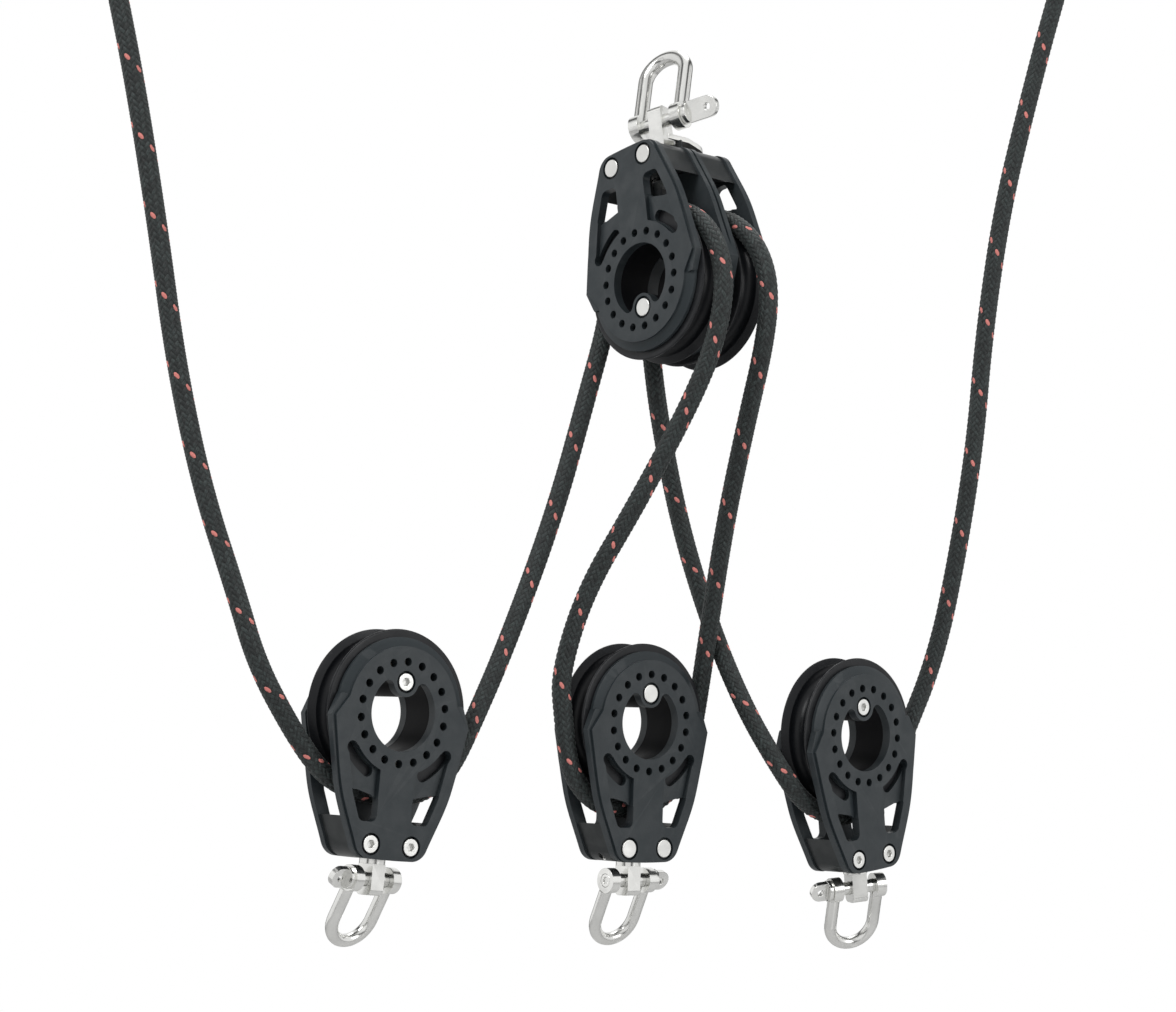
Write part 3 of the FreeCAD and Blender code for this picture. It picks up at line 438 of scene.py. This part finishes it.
def moulded_material(name, colour, finish):
    """Satin moulded plastic: grained, faintly clouded, and paler on its edges as wear and as a painted edge
    highlight.
    """
    rough, pale, gleam = finish
    material, tree, surface, place = new_material(name)
    grain = placed_group(tree, "Surface grain", {"Vector": place, "Scale": 1500.0})
    # Paler edges: partly wear, partly a painted highlight where the edges catch the light
    edge_wear_and_highlight = placed_group(tree, "Edge wear and highlight", {"Vector": place, "Reach": 0.56})
    deep = opaque([part * (1.0 - CLOUDING) for part in colour])
    light = opaque([min(part * (1.0 + CLOUDING), 1.0) for part in colour])
    worn_and_lit = opaque([part + (1.0 - part) * pale for part in colour])
    base = tint(tree, grain.outputs["Cloud"], deep, light)
    tree.links.new(tint(tree, edge_wear_and_highlight.outputs["Wear and highlight"], base, worn_and_lit), surface.inputs["Base Color"])
    gloss = spread(tree, grain.outputs["Cloud"], 0.0, 1.0, rough - 0.05, rough + 0.07)
    tree.links.new(gloss, surface.inputs["Roughness"])
    surface.inputs["Specular IOR Level"].default_value = gleam
    bumped(tree, surface, grain.outputs["Grain"], 0.00006, 0.35)
    return material


def steel_material(name, colour, rough, lines):
    """Stainless steel with polishing lines, faint smears, and brighter edges as wear and as a painted edge
    highlight.
    """
    material, tree, surface, place = new_material(name)
    streaks = placed_group(tree, "Polish streaks", {"Vector": place})
    # Brighter edges: partly wear, partly a painted highlight where the edges catch the light
    edge_wear_and_highlight = placed_group(tree, "Edge wear and highlight", {"Vector": place, "Reach": 0.58})
    deep = opaque([part * 0.90 for part in colour])
    worn_and_lit_steel = opaque([min(part * 1.18, 1.0) for part in colour])
    base = tint(tree, streaks.outputs["Smear"], opaque(colour), deep)
    tree.links.new(tint(tree, edge_wear_and_highlight.outputs["Wear and highlight"], base, worn_and_lit_steel), surface.inputs["Base Color"])
    surface.inputs["Metallic"].default_value = 1.0
    gloss = spread(tree, streaks.outputs["Smear"], 0.0, 1.0, rough, rough + 0.10)
    tree.links.new(gloss, surface.inputs["Roughness"])
    bumped(tree, surface, streaks.outputs["Streak"], 0.00002, lines)
    return material


def twine_material(name, settings):
    """Waxed whipping twine, as dark as the rope and a little smoother."""
    material, tree, surface, place = new_material(name)
    grain = placed_group(tree, "Surface grain", {"Vector": place, "Scale": 2200.0})
    deep = opaque([part * 1.5 for part in settings.dark])
    light = opaque([part * 4.0 for part in settings.dark])
    tree.links.new(tint(tree, grain.outputs["Cloud"], deep, light), surface.inputs["Base Color"])
    surface.inputs["Roughness"].default_value = 0.5
    bumped(tree, surface, grain.outputs["Grain"], 0.00005, 0.4)
    return material


def rope_material(name, settings):
    """Braided yarn, near black, with paler yarns and a tracer strand."""
    material, tree, surface, place = new_material(name)
    weave = shader_node(tree, "ShaderNodeUVMap", uv_map="Weave").outputs[0]
    plait = placed_group(tree, "Plait", {"Weave": weave, "Strands": float(settings.strands)})
    grain = placed_group(tree, "Surface grain", {"Vector": place, "Scale": 2600.0})
    fuzz = calc(tree, "MULTIPLY", grain.outputs["Grain"], 0.25)
    yarn = tint(tree, plait.outputs["Pale"], opaque(settings.dark), opaque(settings.light))
    shaded = spread(tree, plait.outputs["Height"], 0.0, 0.7, 0.12, 1.0)
    yarn = tint(tree, shaded, SHADOW_YARN, yarn)
    yarn = tint(tree, plait.outputs["Tracer"], yarn, opaque(settings.tracer))
    tree.links.new(yarn, surface.inputs["Base Color"])
    surface.inputs["Roughness"].default_value = 0.62
    surface.inputs["Sheen Weight"].default_value = 0.12
    surface.inputs["Sheen Roughness"].default_value = 0.4
    bumped(tree, surface, calc(tree, "ADD", plait.outputs["Height"], fuzz), 0.00035, 0.8)
    return material


# Shapes

def linked(name, mesh):
    """A mesh as an object in the scene."""
    piece = bpy.data.objects.new(name, mesh)
    bpy.context.scene.collection.objects.link(piece)
    return piece


def finished(name, bm, material, sharp=SHARP_ANGLE):
    """Turns a bmesh into a smooth-shaded piece with its sharp edges kept."""
    mesh = bpy.data.meshes.new(name)
    bm.to_mesh(mesh)
    bm.free()
    for face in mesh.polygons:
        face.use_smooth = True
    mesh.set_sharp_from_angle(angle=math.radians(sharp))
    mesh.materials.clear()
    mesh.materials.append(material)
    return linked(name, mesh)


def evened(piece):
    """Keeps flat faces flat beside their rounded edges."""
    even = piece.modifiers.new("Even normals", "WEIGHTED_NORMAL")
    even.keep_sharp = True
    even.weight = 100


def block_frame(block):
    """A block's own axes: X across it, Y along its sheave's axle, Z towards its head."""
    joints = {joint["name"]: joint for joint in RECORD["behaviour"]["joints"]}
    spins = [joint for name, joint in joints.items()
             if name.startswith(block) and name.endswith("sheave_spin")]
    centre = sum((Vector(joint["pos_m"]) for joint in spins), Vector()) / len(spins)
    head = Vector(joints[block + "_swivel"]["axis"]).normalized()
    axle = Vector(spins[0]["axis"]).normalized()
    turned = Matrix((axle.cross(head), axle, head)).transposed()
    return Matrix.Translation(centre) @ turned.to_4x4()


def eased(corners, rounds):
    """An outline with its corners rounded, each by its own radius."""
    outline = []
    for index, (place, radius) in enumerate(zip(corners, rounds)):
        here = Vector(place)
        back = (Vector(corners[index - 1]) - here).normalized()
        onward = (Vector(corners[(index + 1) % len(corners)]) - here).normalized()
        half = back.angle(onward) / 2
        middle = here + (back + onward).normalized() * (radius / math.sin(half))
        first = (here + back * (radius / math.tan(half)) - middle).normalized()
        last = (here + onward * (radius / math.tan(half)) - middle).normalized()
        for step in range(CORNER_STEPS + 1):
            outline.append(tuple(middle + first.slerp(last, step / CORNER_STEPS) * radius))
    return outline


def round_outline():
    """The arc that the head blocks stop at, as a whole circle round the hub."""
    outline = []
    for step in range(ROUND_STEPS):
        angle = 2 * math.pi * step / ROUND_STEPS
        outline.append((HEAD_BLOCK_RADIUS * math.cos(angle), HEAD_BLOCK_RADIUS * math.sin(angle)))
    return outline


def slot_outline():
    """A slot round the hub with two round ends."""
    inside, outside = SLOT_RADII
    middle, half = (inside + outside) / 2, (outside - inside) / 2
    first, last = (math.radians(angle) for angle in SLOT_ANGLES)
    first, last = first + half / middle, last - half / middle
    outline = []

    def arc(centre_radius, centre_angle, radius, start, end):
        """Adds an arc about a centre that is given by its distance and angle from the hub."""
        for step in range(ARC_STEPS + 1):
            angle = start + (end - start) * step / ARC_STEPS
            outline.append((centre_radius * math.cos(centre_angle) + radius * math.cos(angle),
                            centre_radius * math.sin(centre_angle) + radius * math.sin(angle)))

    arc(0.0, 0.0, outside, first, last)
    arc(middle, last, half, last, last + math.pi)
    arc(0.0, 0.0, inside, last, first)
    arc(middle, first, half, first + math.pi, first + 2 * math.pi)
    return outline


def cutter(block, outlines):
    """Prisms across a block over outlines in its plane, as one mesh to cut with."""
    place = block_frame(block)
    bm = bmesh.new()
    for outline in outlines:
        corners = []
        for x, z in outline:
            spot = place @ Vector((x, -CUT_REACH, z))
            if not corners or (corners[-1].co - spot).length > MERGE:
                corners.append(bm.verts.new(spot))
        if (corners[0].co - corners[-1].co).length < MERGE:
            bm.verts.remove(corners.pop())
        swept = bmesh.ops.extrude_face_region(bm, geom=[bm.faces.new(corners)])
        far = [item for item in swept["geom"] if isinstance(item, bmesh.types.BMVert)]
        bmesh.ops.translate(bm, verts=far, vec=place.to_3x3() @ Vector((0.0, 2 * CUT_REACH, 0.0)))
    bmesh.ops.recalc_face_normals(bm, faces=bm.faces)
    mesh = bpy.data.meshes.new(block + "_cut")
    bm.to_mesh(mesh)
    bm.free()
    return mesh


def both_sides(outlines):
    """Outlines and their mirror images on the block's other side."""
    return outlines + [[(-x, z) for x, z in reversed(outline)] for outline in outlines]


def carved(bm, cut_mesh):
    """The shape less the cutter's solids."""
    mesh = bpy.data.meshes.new("whole")
    bm.to_mesh(mesh)
    bm.free()
    whole, tool = linked("whole", mesh), linked("tool", cut_mesh)
    boolean = whole.modifiers.new("Cut", "BOOLEAN")
    boolean.operation = "DIFFERENCE"
    boolean.solver = "EXACT"
    boolean.object = tool
    bpy.context.view_layer.update()
    result = bpy.data.meshes.new_from_object(whole.evaluated_get(bpy.context.evaluated_depsgraph_get()))
    fresh = bmesh.new()
    fresh.from_mesh(result)
    for piece in (whole, tool):
        bpy.data.objects.remove(piece)
    for used in (mesh, result):
        bpy.data.meshes.remove(used)
    bmesh.ops.remove_doubles(fresh, verts=fresh.verts, dist=MERGE)
    return fresh


def dressed(node, ending, material, edge, cut_mesh=None):
    """A CAD node's shape with its triangles joined and its sharp edges rounded."""
    bm = bmesh.new()
    bm.from_mesh(frame["nodes"][node].data)
    bmesh.ops.remove_doubles(bm, verts=bm.verts, dist=MERGE)
    if cut_mesh:
        bm = carved(bm, cut_mesh)
    bmesh.ops.dissolve_limit(bm, angle_limit=math.radians(FLAT_ANGLE), verts=bm.verts, edges=bm.edges)
    if edge > 0:
        least = math.radians(BEVEL_ANGLE)
        corners = [line for line in bm.edges if line.is_manifold and line.calc_face_angle(0.0) > least]
        bmesh.ops.bevel(bm, geom=corners, offset=edge, offset_type="OFFSET", affect="EDGES",
                        segments=BEVEL_SEGMENTS, profile=0.5, clamp_overlap=True, material=-1)
    piece = finished(node + "_" + ending, bm, material)
    evened(piece)
    stands_for(piece, node)


def stands_for(piece, node):
    """Puts a piece in a CAD node's place: hides the node and puts the piece on its body."""
    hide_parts(node)
    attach(piece, BODY_OF[node])


def smooth_line(name, points, steps):
    """The points of a smooth NURBS line through a route, a few for each of its points."""
    data = bpy.data.curves.new(name, "CURVE")
    data.dimensions = "3D"
    spline = data.splines.new("NURBS")
    spline.points.add(len(points) - 1)
    for knot, place in zip(spline.points, points):
        knot.co = (*place, 1.0)
    spline.use_endpoint_u = True
    spline.order_u = 3
    spline.resolution_u = steps
    curve = bpy.data.objects.new(name, data)
    bpy.context.scene.collection.objects.link(curve)
    bpy.context.view_layer.update()
    mesh = bpy.data.meshes.new_from_object(curve)
    line = []
    for vertex in mesh.vertices:
        if not line or (vertex.co - line[-1]).length > MERGE:
            line.append(vertex.co.copy())
    bpy.data.objects.remove(curve)
    bpy.data.curves.remove(data)
    bpy.data.meshes.remove(mesh)
    return line


class Track:
    """Places and sideways directions along a line, without twist."""

    def __init__(self, line):
        self.line = line
        self.reach = [0.0]
        for start, end in zip(line, line[1:]):
            self.reach.append(self.reach[-1] + (end - start).length)
        self.length = self.reach[-1]
        self.ahead = []
        for index in range(len(line)):
            before = line[max(index - 1, 0)]
            after = line[min(index + 1, len(line) - 1)]
            self.ahead.append((after - before).normalized())
        side = self.ahead[0].orthogonal().normalized()
        self.sides = [side]
        for old, new in zip(self.ahead, self.ahead[1:]):
            side = old.rotation_difference(new) @ side
            side = (side - new * side.dot(new)).normalized()
            self.sides.append(side)

    def at(self, distance):
        """The place, the first side and the second side at a distance from the start."""
        low, high = 0, len(self.reach) - 2
        while low < high:
            middle = (low + high + 1) // 2
            if self.reach[middle] <= distance:
                low = middle
            else:
                high = middle - 1
        span = self.reach[low + 1] - self.reach[low]
        part = min(max((distance - self.reach[low]) / span, 0.0), 1.0)
        place = self.line[low].lerp(self.line[low + 1], part)
        ahead = self.ahead[low].lerp(self.ahead[low + 1], part).normalized()
        side = self.sides[low].lerp(self.sides[low + 1], part)
        side = (side - ahead * side.dot(ahead)).normalized()
        return place, side, ahead.cross(side)


def strand_height(step_one, step_other):
    """How proud the plait stands at a half-strand step: 1 on a strand, 0 in a gap."""
    def one_on_top(first, second):
        return (first + second) % 4 < 2

    odd_one, odd_other = step_one % 2, step_other % 2
    first, second = step_one // 2, step_other // 2
    if odd_one and odd_other:
        return TOP
    if odd_other:
        tops = [one_on_top(first - 1, second), one_on_top(first, second)]
        return UNDER if all(tops) else (BESIDE if any(tops) else OVER)
    if odd_one:
        tops = [one_on_top(first, second - 1), one_on_top(first, second)]
        return OVER if all(tops) else (BESIDE if any(tops) else UNDER)
    return GAP


def braided(name, line, thickness, settings, material):
    """A braided tube: a grid along both ways of the strands, rolled up round a line."""
    track = Track(line)
    around = 2 * settings.strands
    step = settings.lay / (2 * around)
    rows = math.ceil(track.length / step) + around
    bm = bmesh.new()
    weave = bm.loops.layers.uv.new("Weave")
    bmesh.ops.create_grid(bm, x_segments=rows, y_segments=around, size=0.5)
    steps = {}
    for vertex in bm.verts:
        steps[vertex] = (round((vertex.co.x + 0.5) * rows), round((vertex.co.y + 0.5) * around))
    for face in bm.faces:
        for loop in face.loops:
            along, across = steps[loop.vert]
            loop[weave].uv = (along / 2, across / 2)
    frames = {}
    for vertex, (along, across) in steps.items():
        key = along - across
        if key not in frames:
            distance = min(max(key * step, 0.0), track.length)
            frames[key] = (*track.at(distance), distance)
        place, side, up, distance = frames[key]
        radius = thickness(distance) / 2 - settings.relief * (1.0 - strand_height(along, across))
        angle = math.pi * (along + across) / around
        vertex.co = place + side * (radius * math.cos(angle)) + up * (radius * math.sin(angle))
    bmesh.ops.remove_doubles(bm, verts=bm.verts, dist=MERGE)
    flat = [face for face in bm.faces if face.calc_area() < LEAST_FACE]
    bmesh.ops.delete(bm, geom=flat, context="FACES")
    loose = [vertex for vertex in bm.verts if not vertex.link_faces]
    bmesh.ops.delete(bm, geom=loose, context="VERTS")
    bmesh.ops.holes_fill(bm, edges=[rim for rim in bm.edges if rim.is_boundary], sides=0)
    bmesh.ops.recalc_face_normals(bm, faces=bm.faces)
    return finished(name, bm, material, NEVER_SHARP_ANGLE)


def coiled(places, radius):
    """A round cord wound along a line of places about their middle, as a bmesh."""
    bm = bmesh.new()
    middle = sum(places, Vector()) / len(places)
    rings = []
    for index, place in enumerate(places):
        before, after = places[max(index - 1, 0)], places[min(index + 1, len(places) - 1)]
        ahead = (after - before).normalized()
        side = ((place - middle) - ahead * (place - middle).dot(ahead)).normalized()
        up = ahead.cross(side)
        ring = []
        for step in range(TWINE_SIDES):
            angle = 2 * math.pi * step / TWINE_SIDES
            spot = place + side * (radius * math.cos(angle)) + up * (radius * math.sin(angle))
            ring.append(bm.verts.new(spot))
        rings.append(ring)
    for first, second in zip(rings, rings[1:]):
        for step in range(TWINE_SIDES):
            onward = (step + 1) % TWINE_SIDES
            bm.faces.new((first[step], first[onward], second[onward], second[step]))
    bm.faces.new(rings[0])
    bm.faces.new(rings[-1])
    bmesh.ops.recalc_face_normals(bm, faces=bm.faces)
    return bm


# Operators

class TACKLE_OT_camera(bpy.types.Operator):
    """Set the camera where the picture was taken from"""
    bl_idname = "tackle.camera"
    bl_label = "Camera"

    def execute(self, context):
        settings = context.scene.tackle_camera
        data = bpy.data.cameras.new("Camera")
        data.sensor_width = SENSOR_WIDTH
        data.lens = settings.lens
        camera = bpy.data.objects.new("Camera", data)
        camera.location = settings.place
        camera.rotation_euler = settings.turn
        context.scene.collection.objects.link(camera)
        context.scene.camera = camera
        return {"FINISHED"}


class TACKLE_OT_rope(bpy.types.Operator):
    """Braid the rope along its route and splice an eye at each end"""
    bl_idname = "tackle.rope"
    bl_label = "Rope"

    def execute(self, context):
        settings = context.scene.tackle_rope
        braid_group()
        grain_group()
        material = rope_material("Braided rope", settings)
        line = smooth_line("rope_line", ROPE_POINTS, LINE_STEPS)
        rope = braided("rope_braid", line, lambda distance: settings.diameter, settings, material)
        twine = twine_material("Whipping twine", settings)
        ends = []
        for node, end, before in (("rope_end_left", ROPE_POINTS[0], ROPE_POINTS[1]),
                                  ("rope_end_right", ROPE_POINTS[-1], ROPE_POINTS[-2])):
            ends += self.spliced_end(node, end, before, settings, material, twine)
        stands_for(rope, "rope")
        return {"FINISHED"}

    def spliced_end(self, node, end, before, settings, material, twine):
        """An eye spliced in one end of the rope, with its thicker throat and its whipping."""
        away = (Vector(end) - Vector(before)).normalized()
        facing = Vector((0.0, 0.0, 1.0)).rotation_difference(away)

        def placed(places):
            return [Vector(end) + facing @ Vector(place) for place in places]

        def throat_width(distance):
            narrow, wide = THROAT_WIDTHS
            return narrow + (wide - narrow) * min(distance / THROAT_LENGTH, 1.0)

        eye_places = placed([(x, 0.0, z) for x, z in EYE_POINTS])
        eye_line = smooth_line(node + "_line", eye_places, LINE_STEPS)
        throat_places = placed([(0.0, 0.0, THROAT_LENGTH * part / 4) for part in range(5)])
        throat_line = smooth_line(node + "_line", throat_places, THROAT_STEPS)
        turns = []
        for step in range(WHIPPING_TURNS * TURN_STEPS + 1):
            height = WHIPPING_START + step / TURN_STEPS * settings.twine
            angle = 2 * math.pi * step / TURN_STEPS
            radius = throat_width(height) / 2
            turns.append((radius * math.cos(angle), radius * math.sin(angle), height))
        whipping = coiled(placed(turns), settings.twine / 2)
        pieces = [braided(node + "_eye", eye_line, lambda distance: settings.diameter, settings, material),
                  braided(node + "_throat", throat_line, throat_width, settings, material),
                  finished(node + "_whipping", whipping, twine, TWINE_SHARP_ANGLE)]
        for piece in pieces:
            stands_for(piece, node)
        return pieces


class TACKLE_OT_mouldings(bpy.types.Operator):
    """Dress the cheeks, the centre plate and the head blocks as satin mouldings"""
    bl_idname = "tackle.mouldings"
    bl_label = "Mouldings"

    def execute(self, context):
        settings = context.scene.tackle_moulding
        wear_and_highlight_group()
        plastic = moulded_material("Cheek plastic", settings.cheek, CHEEK_FINISH)
        # The head blocks' colour holds painted shade from between the cheeks as well as their own darker
        # plastic
        head_plastic_and_shade = moulded_material("Head plastic and painted shade", settings.head, HEAD_FINISH)
        openings = [eased(WINDOW, WINDOW_ROUNDS), slot_outline()]
        kinds = {
            "cheek": (plastic, both_sides(openings + [SHOULDER])),
            "centre_plate": (plastic, both_sides([SHOULDER])),
            "head_block": (head_plastic_and_shade, [round_outline()]),
        }
        for node, slot in SLOT_OF.items():
            if slot in kinds:
                material, outlines = kinds[slot]
                block = node.split("_")[0]
                dressed(node, "moulding", material, settings.edge, cutter(block, outlines))
        return {"FINISHED"}


class TACKLE_OT_sheaves(bpy.types.Operator):
    """Dress the sheaves, the hubs and the rings of balls"""
    bl_idname = "tackle.sheaves"
    bl_label = "Sheaves"

    def execute(self, context):
        settings = context.scene.tackle_moulding
        wheel = moulded_material("Sheave plastic", settings.wheel, WHEEL_FINISH)
        hub = moulded_material("Hub plastic", settings.hub, HUB_FINISH)
        ball = moulded_material("Ball plastic", settings.ball, BALL_FINISH)
        for node, slot in SLOT_OF.items():
            if slot == "sheave":
                dressed(node, "wheel", wheel, settings.edge)
            if slot == "hub":
                dressed(node, "ring", hub, settings.edge)
            if slot == "balls":
                dressed(node, "race", ball, 0.0)
        return {"FINISHED"}


class TACKLE_OT_steel(bpy.types.Operator):
    """Dress the shackles, pins, posts, head plate, screws and nuts as stainless steel"""
    bl_idname = "tackle.steel"
    bl_label = "Steel"

    def execute(self, context):
        settings = context.scene.tackle_steel
        streak_group()
        polished = steel_material("Polished steel", settings.colour, settings.polish, ROD_LINES)
        satin = steel_material("Satin steel", settings.colour, settings.satin, PLATE_LINES)
        for node, slot in SLOT_OF.items():
            if slot in ("shackle", "post"):
                dressed(node, "polished", polished, settings.edge)
            if slot in ("fastener", "strap"):
                dressed(node, "satin", satin, settings.edge)
        return {"FINISHED"}


class TACKLE_OT_stage(bpy.types.Operator):
    """Set the pale floor, the white surroundings and the soft lamps"""
    bl_idname = "tackle.stage"
    bl_label = "Stage"

    def execute(self, context):
        settings = context.scene.tackle_stage
        low, high = CAD_BOX
        middle = (low + high) / 2
        bm = bmesh.new()
        bmesh.ops.create_circle(bm, cap_ends=True, radius=FLOOR_RADIUS, segments=ROUND_STEPS)
        bmesh.ops.translate(bm, verts=bm.verts, vec=(middle.x, middle.y, low.z - settings.drop))
        material, tree, surface, place = new_material("Floor paper")
        deep = opaque([part * 0.98 for part in settings.floor])
        paper = tint(tree, noise(tree, place, 3.0), deep, opaque(settings.floor))
        tree.links.new(paper, surface.inputs["Base Color"])
        surface.inputs["Roughness"].default_value = 0.9
        finished("floor", bm, material)
        self.light_world(context.scene, settings)
        for name, (place, size, share) in LAMPS.items():
            self.add_lamp(name, place, middle, size, settings.lamp * share)
        context.scene.view_settings.view_transform = "Standard"
        return {"FINISHED"}

    def add_lamp(self, name, place, target, size, power):
        """A round soft lamp that looks at the tackle's middle."""
        data = bpy.data.lights.new(name, "AREA")
        data.shape = "DISK"
        data.size = size
        data.energy = power
        lamp = bpy.data.objects.new(name, data)
        lamp.location = place
        lamp.rotation_euler = (target - Vector(place)).to_track_quat("-Z", "Y").to_euler()
        bpy.context.scene.collection.objects.link(lamp)

    def light_world(self, scene, settings):
        """White to the camera, plain light for the object, two dark bands of the room in reflections."""
        world = bpy.data.worlds.new("Studio")
        world.use_nodes = True
        scene.world = world
        tree = world.node_tree
        tree.nodes.clear()
        ray = tree.nodes.new("ShaderNodeLightPath")
        room = tree.nodes.new("ShaderNodeTexCoord").outputs["Generated"]
        way = shader_node(tree, "ShaderNodeSeparateXYZ", {0: room})
        aside = calc(tree, "MULTIPLY", way.outputs[0], way.outputs[0])
        from_band = calc(tree, "ABSOLUTE", calc(tree, "SUBTRACT", aside, BAND_MIDDLE))
        banded = spread(tree, from_band, BAND_INSIDE, BAND_OUTSIDE, BAND_LIGHT, 1.0)
        seen = calc(tree, "MAXIMUM", ray.outputs["Is Glossy Ray"], ray.outputs["Is Transmission Ray"])
        plain = shader_node(tree, "ShaderNodeBackground", {"Color": WHITE, "Strength": settings.sky})
        mirror = shader_node(tree, "ShaderNodeBackground", {"Color": WHITE, "Strength": banded})
        white = shader_node(tree, "ShaderNodeBackground", {"Color": WHITE, "Strength": 1.0})
        lit = shader_node(tree, "ShaderNodeMixShader", {0: seen, 1: plain.outputs[0], 2: mirror.outputs[0]})
        camera = ray.outputs["Is Camera Ray"]
        last = shader_node(tree, "ShaderNodeMixShader", {0: camera, 1: lit.outputs[0], 2: white.outputs[0]})
        output = tree.nodes.new("ShaderNodeOutputWorld")
        tree.links.new(last.outputs[0], output.inputs["Surface"])


class TACKLE_PT_panel(bpy.types.Panel):
    """The tackle's settings and steps"""
    bl_idname = "TACKLE_PT_panel"
    bl_label = "Block and Tackle"
    bl_space_type = "VIEW_3D"
    bl_region_type = "UI"
    bl_category = "Tackle"

    def draw(self, context):
        for owner, operators in STEPS:
            box = self.layout.box()
            settings = getattr(context.scene, owner)
            for name in settings.bl_rna.properties.keys():
                if name not in ("rna_type", "name"):
                    box.prop(settings, name)
            for operator in operators:
                box.operator("tackle." + operator)


SETTINGS = (
    ("tackle_camera", CameraSettings),
    ("tackle_rope", RopeSettings),
    ("tackle_moulding", MouldingSettings),
    ("tackle_steel", SteelSettings),
    ("tackle_stage", StageSettings),
)
STEPS = (
    ("tackle_camera", ("camera",)),
    ("tackle_rope", ("rope",)),
    ("tackle_moulding", ("mouldings", "sheaves")),
    ("tackle_steel", ("steel",)),
    ("tackle_stage", ("stage",)),
)
OPERATORS = (
    TACKLE_OT_camera,
    TACKLE_OT_rope,
    TACKLE_OT_mouldings,
    TACKLE_OT_sheaves,
    TACKLE_OT_steel,
    TACKLE_OT_stage,
)


def register():
    for name, group in SETTINGS:
        bpy.utils.register_class(group)
        setattr(bpy.types.Scene, name, PointerProperty(type=group))
    for operator in OPERATORS:
        bpy.utils.register_class(operator)
    bpy.utils.register_class(TACKLE_PT_panel)


def unregister():
    bpy.utils.unregister_class(TACKLE_PT_panel)
    for operator in reversed(OPERATORS):
        bpy.utils.unregister_class(operator)
    for name, group in reversed(SETTINGS):
        delattr(bpy.types.Scene, name)
        bpy.utils.unregister_class(group)


def main():
    register()
    for owner, operators in STEPS:
        for operator in operators:
            getattr(bpy.ops.tackle, operator)()


if __name__ == "__main__":
    main()
